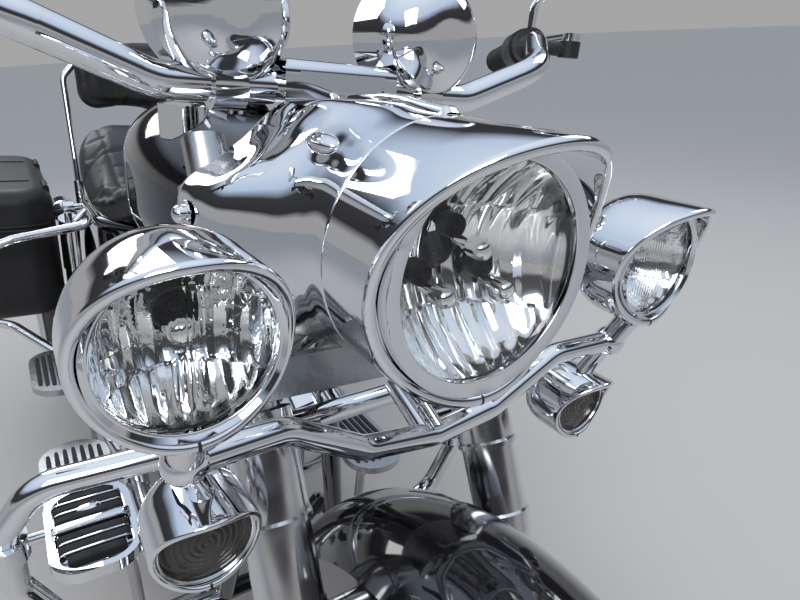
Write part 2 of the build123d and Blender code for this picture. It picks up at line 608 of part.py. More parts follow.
# Frame: steering head, backbone, two cradle loops, rear rails and cross tubes, welded together
HEAD_LOW = 880.0
HEAD_HIGH = 1010.0
HEAD_RADIUS = 30.0
BACKBONE_RADIUS = 20.0
CRADLE_RADIUS = 15.0
RAIL_RADIUS = 12.0
CRADLE_HALF = 100.0
CRADLE_REAR_HALF = 70.0
CRADLE_FLOOR = 150.0
RAIL_HALF = 132.0
RAIL_HEIGHT = 675.0
PIVOT_Y = 1150.0
PIVOT_Z = 345.0
backbone = [(0, 262, 852), (0, 470, 848), (0, 860, 758), (0, 1105, RAIL_HEIGHT)]
cradle = [(24, 268, 812), (30, 405, 690), (88, 455, 330), (CRADLE_HALF, 500, CRADLE_FLOOR),
          (CRADLE_REAR_HALF, 1090, CRADLE_FLOOR), (CRADLE_REAR_HALF, PIVOT_Y, 260),
          (CRADLE_REAR_HALF, PIVOT_Y, 430), (CRADLE_REAR_HALF, 1105, RAIL_HEIGHT)]
rail = [(CRADLE_REAR_HALF, 1105, RAIL_HEIGHT), (RAIL_HALF, 1190, RAIL_HEIGHT),
        (RAIL_HALF, WHEELBASE - 225, RAIL_HEIGHT - 7), (RAIL_HALF, WHEELBASE + 85, RAIL_HEIGHT - 88)]
FENDER_BOLT_YS = (WHEELBASE - 17, WHEELBASE + 65)
REAR_FENDER_HALF = 114.0
TUNNEL_HALF = 27.0
TANK_MOUNTS = ((500, 842), (830, 768))


def flipped(points, side):
    """A route on the rider's left, or its mirror image."""
    return [(side * x, y, z) for x, y, z in points]


def cradle_x(y):
    """How far out the cradle's floor tube runs at a given y."""
    front, rear = cradle[3], cradle[4]
    return front[0] + (rear[0] - front[0]) * (y - front[1]) / (rear[1] - front[1])


def rail_z(y):
    """The rear rail's height where it slopes down beside the fender."""
    front, rear = rail[2], rail[3]
    return front[2] + (rear[2] - front[2]) * (y - front[1]) / (rear[1] - front[1])


def frame_members(extra=0.0):
    """The frame's tubes, each thicker by the extra, in one list."""
    members = [tube(backbone, BACKBONE_RADIUS + extra, 120)]
    for side in (-1, 1):
        members.append(tube(flipped(cradle, side), CRADLE_RADIUS + extra, 55))
        members.append(tube(flipped(rail, side), RAIL_RADIUS + extra, 60))
    for y, z, half in ((478, 240, 96), (1078, CRADLE_FLOOR, 70), (1105, RAIL_HEIGHT, 70)):
        members.append(rod((-half, y, z), (half, y, z), CRADLE_RADIUS + extra))
    return members


frame_tubes = rod(on_steering(HEAD_LOW), on_steering(HEAD_HIGH), HEAD_RADIUS)
for member in frame_members():
    frame_tubes += member
gusset = Polygon((262, 800), (255, 868), (420, 862), (412, 790), (330, 765), align=None)
frame_tubes += extrude(Plane.YZ * gusset, amount=20, both=True)
frame_tubes += rod((-AXLE_HALF, PIVOT_Y, PIVOT_Z), (AXLE_HALF, PIVOT_Y, PIVOT_Z), AXLE_RADIUS)
for y, z in TANK_MOUNTS:
    frame_tubes += rod((SEAT_GAP - TUNNEL_HALF, y, z), (TUNNEL_HALF - SEAT_GAP, y, z), 9)
for side in (-1, 1):
    for y in FENDER_BOLT_YS:
        fender_side = side * (REAR_FENDER_HALF + SEAT_GAP)
        frame_tubes += rod((fender_side, y, rail_z(y)), (side * RAIL_HALF, y, rail_z(y)), 8)
frame_tubes -= rod(on_steering(HEAD_LOW - 20), on_steering(HEAD_HIGH + 20), STEM_RADIUS + PIN_CLEARANCE)
nodes["frame_tubes"] = frame_tubes
keep_out = frame_members(SEAT_GAP)


def off_frame(piece):
    """A piece with the frame's tubes cut out of it, so that it seats on them."""
    for member in keep_out:
        piece = piece - member
    return piece


# Swingarm: two tapered arms and a cross tube; the axle and the shocks hang on it
ARM_IN = 124.0
ARM_OUT = 152.0
arm_ends = (Pos(PIVOT_Y, PIVOT_Z) * Circle(34), Pos(WHEELBASE, WHEEL_RADIUS) * Circle(31))
arm_outline = make_hull([edge for circle in arm_ends for edge in circle.edges()])
swingarm = rod((-ARM_IN - 4, PIVOT_Y + 92, PIVOT_Z - 3), (ARM_IN + 4, PIVOT_Y + 92, PIVOT_Z - 3), 20)
for side in (-1, 1):
    start, end = sorted((side * ARM_IN, side * ARM_OUT))
    swingarm += Pos(start, 0, 0) * extrude(Plane.YZ * arm_outline, amount=end - start)
swingarm -= rod((-200, PIVOT_Y, PIVOT_Z), (200, PIVOT_Y, PIVOT_Z), AXLE_RADIUS + PIN_CLEARANCE)
swingarm -= rod((-200, WHEELBASE, WHEEL_RADIUS), (200, WHEELBASE, WHEEL_RADIUS), AXLE_RADIUS + PIN_CLEARANCE)
nodes["swingarm"] = swingarm
REAR_AXLE_BORE = 7.0
rear_axle = rod((-AXLE_HALF, WHEELBASE, WHEEL_RADIUS), (AXLE_HALF, WHEELBASE, WHEEL_RADIUS), AXLE_RADIUS)
for side in (-1, 1):
    hub_face = REAR_HUB_HALF + (DISC_THICKNESS if side < 0 else BELT_WIDTH + 6) + 0.5
    rear_axle += rod((side * hub_face, WHEELBASE, WHEEL_RADIUS),
                     (side * (ARM_IN - SEAT_GAP), WHEELBASE, WHEEL_RADIUS), AXLE_RADIUS + 7)
    rear_axle += rod((side * (ARM_OUT + SEAT_GAP), WHEELBASE, WHEEL_RADIUS),
                     (side * 168, WHEELBASE, WHEEL_RADIUS), AXLE_RADIUS + 8)
rear_axle -= rod((-180, WHEELBASE, WHEEL_RADIUS), (180, WHEELBASE, WHEEL_RADIUS), REAR_AXLE_BORE)
nodes["rear_axle"] = rear_axle

# Shocks: a body, a coil cover and an eye at each end, between the swingarm and the rails
SHOCK_X = 176.0
shock_low, shock_high = (WHEELBASE - 85, 350), (WHEELBASE - 193, RAIL_HEIGHT - 20)
shocks = []
for side in (-1, 1):
    low = Vector(side * SHOCK_X, *shock_low)
    high = Vector(side * SHOCK_X, *shock_high)
    shock = rod(low, high, 9) + rod(low + (high - low) * 0.12, low + (high - low) * 0.5, 19)
    shock += rod(low + (high - low) * 0.42, low + (high - low) * 0.9, 23)
    for eye in (low, high):
        shock += rod((side * (SHOCK_X - 14), eye.Y, eye.Z), (side * (SHOCK_X + 10), eye.Y, eye.Z), 16)
    shock += rod((side * (ARM_OUT + SEAT_GAP), low.Y, low.Z), (side * SHOCK_X, low.Y, low.Z), 9)
    shock += rod((side * RAIL_HALF, high.Y, high.Z), (side * SHOCK_X, high.Y, high.Z), 9)
    shocks.append(off_frame(shock))
nodes["shocks"] = shocks

# Rear caliper on the right arm, over its disc
REAR_CALIPER_TURN = 140.0
rear_block = Pos(-(REAR_HUB_HALF + 8), CALIPER_REACH, 0) * Box(44, CALIPER_DEPTH, 104)
rear_block = fillet(rear_block.edges().filter_by(Axis.X), 15)
disc_slot = Rot(0, 90, 0) * Cylinder(DISC_RADIUS + RUN_GAP, DISC_THICKNESS + 6)
rear_block -= Pos(-(REAR_HUB_HALF + DISC_THICKNESS / 2), 0, 0) * disc_slot
rear_caliper = rear_axle_place * Rot(REAR_CALIPER_TURN, 0, 0) * rear_block
hanger_y, hanger_z = WHEELBASE - 101, WHEEL_RADIUS + 46
rear_caliper += rod((-ARM_IN + SEAT_GAP, hanger_y, hanger_z), (-REAR_HUB_HALF - 22, hanger_y, hanger_z), 13)
nodes["rear_caliper"] = rear_caliper

# Engine: a crankcase, two finned cylinders with heads, rocker boxes and pushrod tubes
ENGINE_Y = 745.0
ENGINE_Z = 318.0
CYLINDER_ANGLE = 22.5
CASE_RADIUS = 118.0
CASE_HALF = 84.0
BARREL_LOW = 205.0
HEAD_SEAT = 300.0
ROCKER_SEAT = 358.0
ROCKER_TOP = 408.0
BARREL_RADIUS = 60.0
FIN_RADIUS = 76.0
FIN_THICKNESS = 3.6
FINS = 9
HEAD_FINS = 5
PUSHROD_X = -88.0
HEAD_CORE = 124.0
PORT_HEIGHT = 325.0
EXHAUST_PORT_X = -34.0
PIPE_RADIUS = 22.0
INTAKE_RADIUS = 15.0
INTAKE_Z = 646.0


def cylinder_plane(lean, distance):
    """A plane across a cylinder, so far out from the crank; a lean of -1 is the front one."""
    angle = radians(lean * CYLINDER_ANGLE)
    axis = Vector(0, sin(angle), cos(angle))
    return Plane(origin=Vector(0, ENGINE_Y, ENGINE_Z) + axis * distance, x_dir=(1, 0, 0), z_dir=axis)


def head_core(lean, extra=0.0):
    """A head's solid block, without its fins."""
    height = ROCKER_SEAT - HEAD_SEAT - SEAT_GAP
    plane = cylinder_plane(lean, HEAD_SEAT - extra)
    return plane * Box(HEAD_CORE + 2 * extra, HEAD_CORE + 2 * extra, height + 2 * extra, align=upward)


def port(lean, reach):
    """A point on a head's exhaust port axis, so far out from the head's block."""
    plane = cylinder_plane(lean, PORT_HEIGHT) * Pos(EXHAUST_PORT_X, lean * (HEAD_CORE / 2 + reach), 0)
    return plane.position


upward = (Align.CENTER, Align.CENTER, Align.MIN)
intake_pocket = rod((0, ENGINE_Y - 90, INTAKE_Z), (0, ENGINE_Y + 90, INTAKE_Z), INTAKE_RADIUS + 3)
crankcase = Pos(0, ENGINE_Y, ENGINE_Z) * Rot(0, 90, 0) * Cylinder(CASE_RADIUS, 2 * CASE_HALF)
crankcase += Pos(60, ENGINE_Y, ENGINE_Z) * Rot(0, 90, 0) * Cylinder(96, 119)
gearbox = Pos(-6, 1000, 325) * Box(150, 200, 190)
gearbox = fillet(gearbox.edges().filter_by(Axis.X), 36)
barrels, heads, rocker_boxes, pushrods = [], [], [], []
for lean in (-1, 1):
    crankcase += cylinder_plane(lean, 60) * Cylinder(FIN_RADIUS - 2, BARREL_LOW - 60 - SEAT_GAP, align=upward)
    barrel_height = HEAD_SEAT - BARREL_LOW - SEAT_GAP
    barrel = cylinder_plane(lean, BARREL_LOW) * Cylinder(BARREL_RADIUS, barrel_height, align=upward)
    fin_pitch = (barrel_height - FIN_THICKNESS) / (FINS - 1)
    for fin in range(FINS):
        fin_plane = cylinder_plane(lean, BARREL_LOW + fin * fin_pitch)
        barrel += fin_plane * Cylinder(FIN_RADIUS, FIN_THICKNESS, align=upward)
    barrels.append(barrel)
    head = head_core(lean)
    head_pitch = (ROCKER_SEAT - HEAD_SEAT - SEAT_GAP - 2 - FIN_THICKNESS) / (HEAD_FINS - 1)
    fin_outline = RectangleRounded(156, 156, 34)
    for fin in range(HEAD_FINS):
        plane = cylinder_plane(lean, HEAD_SEAT + 1 + fin * head_pitch)
        fin_plate = extrude(plane * fin_outline, amount=FIN_THICKNESS)
        head += fin_plate - rod(port(lean, -5), port(lean, 40), PIPE_RADIUS + 3) - intake_pocket
    tab = cylinder_plane(lean, ROCKER_SEAT - 9) * Pos(PUSHROD_X + 6, 0, 0) * RectangleRounded(34, 84, 14)
    head += extrude(tab, amount=8)
    heads.append(head)
    box = loft([
        cylinder_plane(lean, ROCKER_SEAT) * RectangleRounded(150, 150, 30),
        cylinder_plane(lean, (ROCKER_SEAT + ROCKER_TOP) / 2) * RectangleRounded(146, 140, 30),
        cylinder_plane(lean, ROCKER_TOP) * RectangleRounded(112, 104, 24),
    ], ruled=True)
    rocker_boxes.append(box)
    for shift in (-26, 26):
        foot = cylinder_plane(lean, 122) * Pos(PUSHROD_X, shift * 0.5, 0)
        top = cylinder_plane(lean, ROCKER_SEAT - 10) * Pos(PUSHROD_X, shift, 0)
        pushrods.append(rod(foot.position, top.position, 8.5))
nodes["engine_cases"] = [crankcase, gearbox]
nodes["cylinders"] = barrels
nodes["cylinder_heads"] = heads
nodes["rocker_boxes"] = rocker_boxes
nodes["pushrod_tubes"] = pushrods


# Engine covers: the chromed primary on the left, with its round lids, and the cam cover on the right
def hull_of(circles):
    """The straight-sided outline round a few circles, given as (y, z, radius)."""
    placed = [Pos(y, z) * Circle(radius) for y, z, radius in circles]
    return make_hull([edge for circle in placed for edge in circle.edges()])


def slab(outline, start, end):
    """A YZ outline made into a plate between two X values."""
    low, high = sorted((start, end))
    return Pos(low, 0, 0) * extrude(Plane.YZ * outline, amount=high - low, dir=(1, 0, 0))


PRIMARY_IN = 120.0
PRIMARY_OUT = 176.0
PRIMARY_Y = 992.0
primary = slab(hull_of([(ENGINE_Y, ENGINE_Z, 102), (PRIMARY_Y, 318, 112)]), PRIMARY_IN, PRIMARY_OUT)
primary = fillet(primary.faces().sort_by(Axis.X)[-1].edges(), 14)
primary += slab(Pos(PRIMARY_Y, 318) * Circle(78), PRIMARY_OUT - 5, PRIMARY_OUT + 7)
primary += slab(Pos(ENGINE_Y, ENGINE_Z) * Circle(46), PRIMARY_OUT - 5, PRIMARY_OUT + 5)
cam_outline = hull_of([
    (ENGINE_Y, ENGINE_Z, 84), (ENGINE_Y + 62, ENGINE_Z - 30, 60), (ENGINE_Y - 52, ENGINE_Z + 34, 46)])
cam = slab(cam_outline, -CASE_HALF - SEAT_GAP, -CASE_HALF - 34)
cam = fillet(cam.faces().sort_by(Axis.X)[0].edges(), 10)
cam += slab(Pos(ENGINE_Y + 14, ENGINE_Z - 8) * Circle(44), -CASE_HALF - 30, -CASE_HALF - 42)
nodes["engine_covers"] = [primary, cam]

# Drive belt from the gearbox pulley to the wheel's
FRONT_PULLEY = (1040.0, 335.0)
FRONT_PULLEY_RADIUS = 46.0
belt_inside = hull_of([
    (*FRONT_PULLEY, FRONT_PULLEY_RADIUS + SEAT_GAP), (WHEELBASE, WHEEL_RADIUS, PULLEY_RADIUS + SEAT_GAP)])
belt_outside = hull_of([
    (*FRONT_PULLEY, FRONT_PULLEY_RADIUS + SEAT_GAP + BELT_THICKNESS),
    (WHEELBASE, WHEEL_RADIUS, PULLEY_RADIUS + SEAT_GAP + BELT_THICKNESS)])
belt_in = REAR_HUB_HALF + 5
nodes["drive_belt"] = slab(belt_outside, belt_in, belt_in + BELT_WIDTH) - slab(
    belt_inside, belt_in - 1, belt_in + BELT_WIDTH + 1)
drive_pulley = slab(Pos(*FRONT_PULLEY) * Circle(FRONT_PULLEY_RADIUS), 69 + SEAT_GAP, belt_in + BELT_WIDTH)
nodes["engine_cases"].append(drive_pulley)

# Air cleaner: a chromed dish on the right, on its backing plate and neck
AIR_Y = 745.0
AIR_Z = 620.0
air_dish = turned([(0, 0), (94, 0), (94, 26), (84, 40), (60, 50), (0, 54)],
                  Plane(origin=(-112, AIR_Y, AIR_Z), z_dir=(-1, 0, 0), x_dir=(0, 1, 0)))
air_dish += rod((-34, AIR_Y, AIR_Z), (-114, AIR_Y, AIR_Z), 19)
air_dish += rod((0, ENGINE_Y - 90, INTAKE_Z), (0, ENGINE_Y + 90, INTAKE_Z), INTAKE_RADIUS)
air_dish += rod((-40, AIR_Y, AIR_Z), (0, AIR_Y, INTAKE_Z), 19)
nodes["air_cleaner"] = air_dish - head_core(-1, SEAT_GAP) - head_core(1, SEAT_GAP)

# Exhaust: a pipe from each head down the right side, a crossover and two mufflers
MUFFLER_X = 236.0
MUFFLER_Z = 262.0
MUFFLER_RADIUS = 47.0
MUFFLER_FRONT = 1235.0
MUFFLER_REAR = WHEELBASE + 437
MUFFLER_BORE = 33.0
MUFFLER_STRAP_Y = WHEELBASE - 249
MUFFLER_STRAP_X = 172.0
front_route = [tuple(port(-1, -10)), tuple(port(-1, 62)), (-122, 476, 460), (-150, 560, 230),
               (-156, 700, 196), (-158, 980, 196), (-190, 1120, 230),
               (-MUFFLER_X, MUFFLER_FRONT - 14, MUFFLER_Z)]
rear_route = [tuple(port(1, -10)), tuple(port(1, 62)), (-124, 1006, 460), (-146, 960, 320),
              (-152, 900, 200), (-154, 840, 196)]
cross_route = [(-158, 930, 196), (-120, 1010, 196), (0, 1035, 200), (110, 1075, 200), (190, 1140, 230),
               (MUFFLER_X, MUFFLER_FRONT - 14, MUFFLER_Z)]
exhaust_pipe = tube(front_route, PIPE_RADIUS, 42) + tube(rear_route, PIPE_RADIUS, 40)
exhaust_pipe += tube(cross_route, PIPE_RADIUS - 1, 40)
mufflers = []
muffler_length = MUFFLER_REAR - MUFFLER_FRONT
muffler_profile = [
    (16, 0), (PIPE_RADIUS + 3, 0), (MUFFLER_RADIUS, 70), (MUFFLER_RADIUS, muffler_length - 90),
    (MUFFLER_BORE + 5, muffler_length), (MUFFLER_BORE, muffler_length), (MUFFLER_BORE, muffler_length - 160),
    (16, muffler_length - 160),
]
for lean in (-1, 1):
    exhaust_pipe -= head_core(lean, SEAT_GAP)
for side in (-1, 1):
    muffler = turned(muffler_profile, Plane(
        origin=(side * MUFFLER_X, MUFFLER_FRONT, MUFFLER_Z), z_dir=(0, 1, 0), x_dir=(1, 0, 0)))
    strap = tube([
        (side * (MUFFLER_X - 14), MUFFLER_STRAP_Y, MUFFLER_Z + MUFFLER_RADIUS - 10),
        (side * MUFFLER_STRAP_X, MUFFLER_STRAP_Y, MUFFLER_Z + 110),
        (side * MUFFLER_STRAP_X, MUFFLER_STRAP_Y, RAIL_HEIGHT - 46),
        (side * RAIL_HALF, MUFFLER_STRAP_Y, RAIL_HEIGHT - 7)], 7, 22)
    mufflers.append(off_frame(muffler + strap))
    exhaust_pipe += rod((side * MUFFLER_X, MUFFLER_FRONT - 24, MUFFLER_Z),
                        (side * MUFFLER_X, MUFFLER_FRONT - SEAT_GAP, MUFFLER_Z), PIPE_RADIUS)
muffler_room = Box(600, 60, 120, align=(Align.CENTER, Align.MIN, Align.CENTER))
exhaust_pipe -= Pos(0, MUFFLER_FRONT - SEAT_GAP, MUFFLER_Z) * muffler_room
nodes["exhaust"] = [off_frame(exhaust_pipe)] + mufflers

# Fuel tank: a long teardrop with a tunnel for the backbone
# Each row: y, centre x, half width, low z, high z, corner radius
TANK_SECTIONS = [
    [432, 0, 62, 806, 906, 46],
    [500, 0, 124, 764, 952, 74],
    [600, 0, 150, 748, 974, 88],
    [740, 0, 142, 748, 968, 84],
    [880, 0, 88, 756, 878, 54],
]
tunnel = slab(Polygon((420, 700), (420, 884), (500, 886), (900, 786), (900, 700), align=None),
              -TUNNEL_HALF, TUNNEL_HALF)
tank = lofted(TANK_SECTIONS) - tunnel
nodes["fuel_tank"] = tank

# Console on the tank: a chromed spine with the speedometer, and a filler cap each side
CONSOLE_SECTIONS = [
    [560, 0, 42, 950, 984, 12],
    [640, 0, 56, 955, 1000, 20],
    [740, 0, 48, 950, 990, 16],
    [850, 0, 26, 890, 930, 12],
]
console = lofted(CONSOLE_SECTIONS)
console += Pos(0, 625, 992) * Rot(12, 0, 0) * Cylinder(50, 24)
caps = [Pos(side * 96, 560, 0) * Pos(0, 0, 958) * Cylinder(30, 40) for side in (-1, 1)]
tank_shadow = lofted([
    [y, x, half + SEAT_GAP, low, high + SEAT_GAP, corner] for y, x, half, low, high, corner in TANK_SECTIONS])
nodes["tank_console"] = [console - tank_shadow] + [cap - tank_shadow for cap in caps]

# Seat: one stepped cushion for two
SEAT_BASE = RAIL_HEIGHT + BACKBONE_RADIUS + 3
SEAT_SECTIONS = [
    [890, 0, 62, SEAT_BASE + 76, SEAT_BASE + 140, 20],
    [960, 0, 130, SEAT_BASE + 54, SEAT_BASE + 104, 22],
    [1080, 0, 172, SEAT_BASE + 10, SEAT_BASE + 86, 34],
    [1180, 0, 168, SEAT_BASE, SEAT_BASE + 132, 40],
    [WHEELBASE - 325, 0, 150, SEAT_BASE, SEAT_BASE + 168, 42],
    [WHEELBASE - 175, 0, 120, SEAT_BASE, SEAT_BASE + 164, 42],
]
nodes["seat"] = lofted(SEAT_SECTIONS)

# Backrest: a chromed hoop from the rails with a pad in front of it
HOOP_Y = WHEELBASE - 40
HOOP_RADIUS = 8.0
HOOP_HALF = RAIL_HALF + 4
PAD_LOW = RAIL_HEIGHT + 205
PAD_HIGH = RAIL_HEIGHT + 393
hoop_foot = HOOP_Y - 70
hoop = tube(mirrored([
    (92, HOOP_Y, RAIL_HEIGHT + 335), (HOOP_HALF, HOOP_Y, RAIL_HEIGHT + 285),
    (HOOP_HALF, HOOP_Y - 55, RAIL_HEIGHT + 85), (HOOP_HALF, hoop_foot, RAIL_HEIGHT + 25)]), HOOP_RADIUS, 40)
for side in (-1, 1):
    hoop += rod((side * HOOP_HALF, hoop_foot + 1, RAIL_HEIGHT + 31),
                (side * HOOP_HALF, hoop_foot - 3, rail_z(hoop_foot)), HOOP_RADIUS + 3)
nodes["backrest_bar"] = off_frame(hoop)
PAD_BACK = HOOP_Y - HOOP_RADIUS - SEAT_GAP
nodes["backrest_pad"] = lofted([
    [PAD_BACK - 62, 0, 96, PAD_LOW + 20, PAD_HIGH - 18, 44],
    [PAD_BACK - 44, 0, 118, PAD_LOW + 2, PAD_HIGH - 2, 50],
    [PAD_BACK - 14, 0, 120, PAD_LOW, PAD_HIGH, 50],
    [PAD_BACK, 0, 112, PAD_LOW + 8, PAD_HIGH - 8, 46],
])

# Rear fender over the wheel, between the rails
rear_hoop = dict(skirt=236.0, shoulder=306.0, crown=358.0)
nodes["rear_fender"] = rear_axle_place * fender(
    REAR_FENDER_HALF, rear_hoop["skirt"], rear_hoop["shoulder"], rear_hoop["crown"], FENDER_WALL, 50, 98)
rear_shadow = rear_axle_place * revolve(Plane.XZ * hoop_face(
    REAR_FENDER_HALF + SEAT_GAP, rear_hoop["skirt"], rear_hoop["shoulder"] + SEAT_GAP,
    rear_hoop["crown"] + SEAT_GAP), Axis.X)

# Tail: a lamp on the fender, a bar with two signals and a blank plate on its bracket
TAIL_LAMP = dict(y=WHEELBASE + 337, z=WHEEL_RADIUS + 252, radius=40.0)
TAIL_BAR_Y = WHEELBASE + 333
TAIL_BAR_Z = WHEEL_RADIUS + 185
REAR_SIGNAL = dict(z=TAIL_BAR_Z + 15, y=WHEELBASE + 365, x=152.0, radius=40.0, visor=26.0, barrel=34.0,
                   depth=62.0, glass=33.0)
tail_lamp_back = (0, TAIL_LAMP["y"], TAIL_LAMP["z"])
tail_lamp = rod((0, TAIL_LAMP["y"] - 102, TAIL_LAMP["z"]), tail_lamp_back, TAIL_LAMP["radius"])
tail_lamp -= rear_shadow
tail_bar = rod((-REAR_SIGNAL["x"], TAIL_BAR_Y, TAIL_BAR_Z), (REAR_SIGNAL["x"], TAIL_BAR_Y, TAIL_BAR_Z), 9)
tail_bar += rod((0, TAIL_BAR_Y - 58, TAIL_BAR_Z), (0, TAIL_BAR_Y + 4, TAIL_BAR_Z), 22)
tail_bar -= rear_shadow
rear_signals = []
for side in (-1, 1):
    turned_round = Pos(side * REAR_SIGNAL["x"], REAR_SIGNAL["y"], REAR_SIGNAL["z"]) * Rot(0, 0, 180)
    rear_signals.append(turned_round * small_shell(REAR_SIGNAL))
    tail_bar -= turned_round * Rot(-90, 0, 0) * Cylinder(REAR_SIGNAL["radius"] + SEAT_GAP, 200)
    lens = turned_round * Pos(0, GLASS_SET_BACK, 0) * lamp_glass(REAR_SIGNAL["glass"], 4)
    rear_signals.append(lens)
plate = Pos(0, TAIL_BAR_Y + 38, TAIL_BAR_Z - 85) * Rot(-8, 0, 0) * Box(178, 3, 102)
plate_arm = tube([(0, TAIL_BAR_Y - 2, TAIL_BAR_Z - 19), (0, TAIL_BAR_Y + 22, TAIL_BAR_Z - 35),
                  (0, TAIL_BAR_Y + 33, TAIL_BAR_Z - 65)], 8, 12)
nodes["tail_lamps"] = [tail_lamp] + rear_signals
nodes["plate_bracket"] = tail_bar + plate_arm + plate


# Saddlebags: a hollow box each side with its inner wall full height, and a lid on two hinges there
BAG_WIDTH = 214.0
BAG_LENGTH = 598.0
BAG_HEIGHT = 326.0
BAG_CORNER = 72.0
BAG_EDGE = 40.0
BAG_WALL = 7.0
BAG_X = 311.0
BAG_Y = WHEELBASE + 66
BAG_TOP = RAIL_HEIGHT + 30
BAG_SPLIT = BAG_TOP - 88
LID_INNER = 215.0
HINGE_RADIUS = 6.0
HINGE_PIN = 3.0
HINGE_HALF = 20.0
LID_HINGE_X = LID_INNER - 1
edge_run = BAG_EDGE - (LID_INNER - BAG_X + BAG_WIDTH / 2)
LID_HINGE_Z = BAG_TOP - BAG_EDGE + sqrt(BAG_EDGE**2 - edge_run**2) + 4


def bag_form(inset=0.0):
    """A bag's box with big upright corners and softer top and bottom edges, or its inside."""
    box = Box(BAG_WIDTH - 2 * inset, BAG_LENGTH - 2 * inset, BAG_HEIGHT - 2 * inset)
    box = fillet(box.edges().filter_by(Axis.Z), BAG_CORNER - inset)
    ends = box.faces().filter_by(Axis.Z)
    box = fillet(ends[0].edges() + ends[1].edges(), BAG_EDGE - inset)
    return Pos(BAG_X, BAG_Y, BAG_TOP - BAG_HEIGHT / 2) * box


def hinge_rod(middle, start, end, radius):
    """A round piece on the lid's hinge axis, between two distances from a hinge's middle."""
    return rod((LID_HINGE_X, middle + start, LID_HINGE_Z), (LID_HINGE_X, middle + end, LID_HINGE_Z), radius)


bag_whole = bag_form() - bag_form(BAG_WALL)
bag_reach = (Align.MIN, Align.CENTER, Align.MIN)
lid = bag_whole & Pos(LID_INNER, BAG_Y, BAG_SPLIT) * Box(300, 800, 200, align=bag_reach)
bag = bag_whole - Pos(LID_INNER - SEAT_GAP, BAG_Y, BAG_SPLIT - SEAT_GAP) * Box(300, 800, 200, align=bag_reach)
for y in (WHEELBASE - 145, WHEELBASE + 15):
    bag += rod((RAIL_HALF, y, rail_z(y)), (LID_INNER - 5, y, rail_z(y) - 20), 8)
bag -= bag_form(BAG_WALL)
for middle in (BAG_Y - 170, BAG_Y + 170):
    bag -= hinge_rod(middle, -HINGE_HALF - SEAT_GAP, HINGE_HALF + SEAT_GAP, HINGE_RADIUS + 1.5)
    for turn in (-1, 1):
        start, end = sorted((turn * (HINGE_HALF + SEAT_GAP), turn * 2 * HINGE_HALF))
        lid -= hinge_rod(middle, start - SEAT_GAP, end + SEAT_GAP, HINGE_RADIUS + 1.5)
        bag += hinge_rod(middle, start, end, HINGE_RADIUS)
        leaf = Box(8, end - start, 2 * HINGE_RADIUS + 4, align=(Align.MAX, Align.MIN, Align.MAX))
        bag += Pos(LID_INNER - SEAT_GAP, middle + start, LID_HINGE_Z) * leaf
    bag += hinge_rod(middle, -2 * HINGE_HALF, 2 * HINGE_HALF, HINGE_PIN)
    lid += hinge_rod(middle, -HINGE_HALF, HINGE_HALF, HINGE_RADIUS)
    lid -= hinge_rod(middle, -2 * HINGE_HALF, 2 * HINGE_HALF, HINGE_PIN + PIN_CLEARANCE)
nodes["saddlebags"] = both(off_frame(bag))
nodes["lid_left"] = lid
nodes["lid_right"] = mirror(lid, about=Plane.YZ)

# Guards: a hoop ahead of each bag, and the engine guard across the front of the cradle
GUARD_RADIUS = 16.0
BAG_GUARD_RADIUS = 11.0
GUARD_HALF = 350.0
GUARD_Y = 372.0
GUARD_TOP = 606.0
guard_route = [
    (0, GUARD_Y, GUARD_TOP), (140, GUARD_Y + 8, GUARD_TOP - 2), (312, GUARD_Y + 42, GUARD_TOP - 22),
    (GUARD_HALF, GUARD_Y + 54, GUARD_TOP - 80), (GUARD_HALF, GUARD_Y + 84, 420),
    (300, GUARD_Y + 94, 306), (180, GUARD_Y + 98, 246), (CRADLE_HALF - 4, GUARD_Y + 104, 232)]
GUARD_BEND = 54.0
engine_guard = tube([(-x, y, z) for x, y, z in guard_route[:0:-1]] + guard_route, GUARD_RADIUS, GUARD_BEND)
for side in (-1, 1):
    engine_guard += rod((side * 40, GUARD_Y, GUARD_TOP), (side * 41, GUARD_Y + 44, GUARD_TOP + 10), 12)
guards = [off_frame(engine_guard)]
BAG_GUARD_Y = WHEELBASE - 275
bag_guard_route = [
    (RAIL_HALF, BAG_GUARD_Y, RAIL_HEIGHT - 4), (RAIL_HALF + 6, BAG_GUARD_Y - 2, RAIL_HEIGHT - 45),
    (300, BAG_GUARD_Y - 6, RAIL_HEIGHT - 69), (432, BAG_GUARD_Y - 4, RAIL_HEIGHT - 115),
    (436, BAG_GUARD_Y - 2, RAIL_HEIGHT - 243), (330, BAG_GUARD_Y - 10, RAIL_HEIGHT - 283),
    (238, BAG_GUARD_Y - 165, PIVOT_Z + 13), (ARM_OUT + 8, PIVOT_Y, PIVOT_Z)]
pivot_end = AXLE_HALF + SEAT_GAP
pivot_bolt = rod((-pivot_end, PIVOT_Y, PIVOT_Z), (pivot_end, PIVOT_Y, PIVOT_Z), AXLE_RADIUS + SEAT_GAP)
for side in (-1, 1):
    guards.append(off_frame(tube(flipped(bag_guard_route, side), BAG_GUARD_RADIUS, 30)) - pivot_bolt)
nodes["guard_bars"] = guards

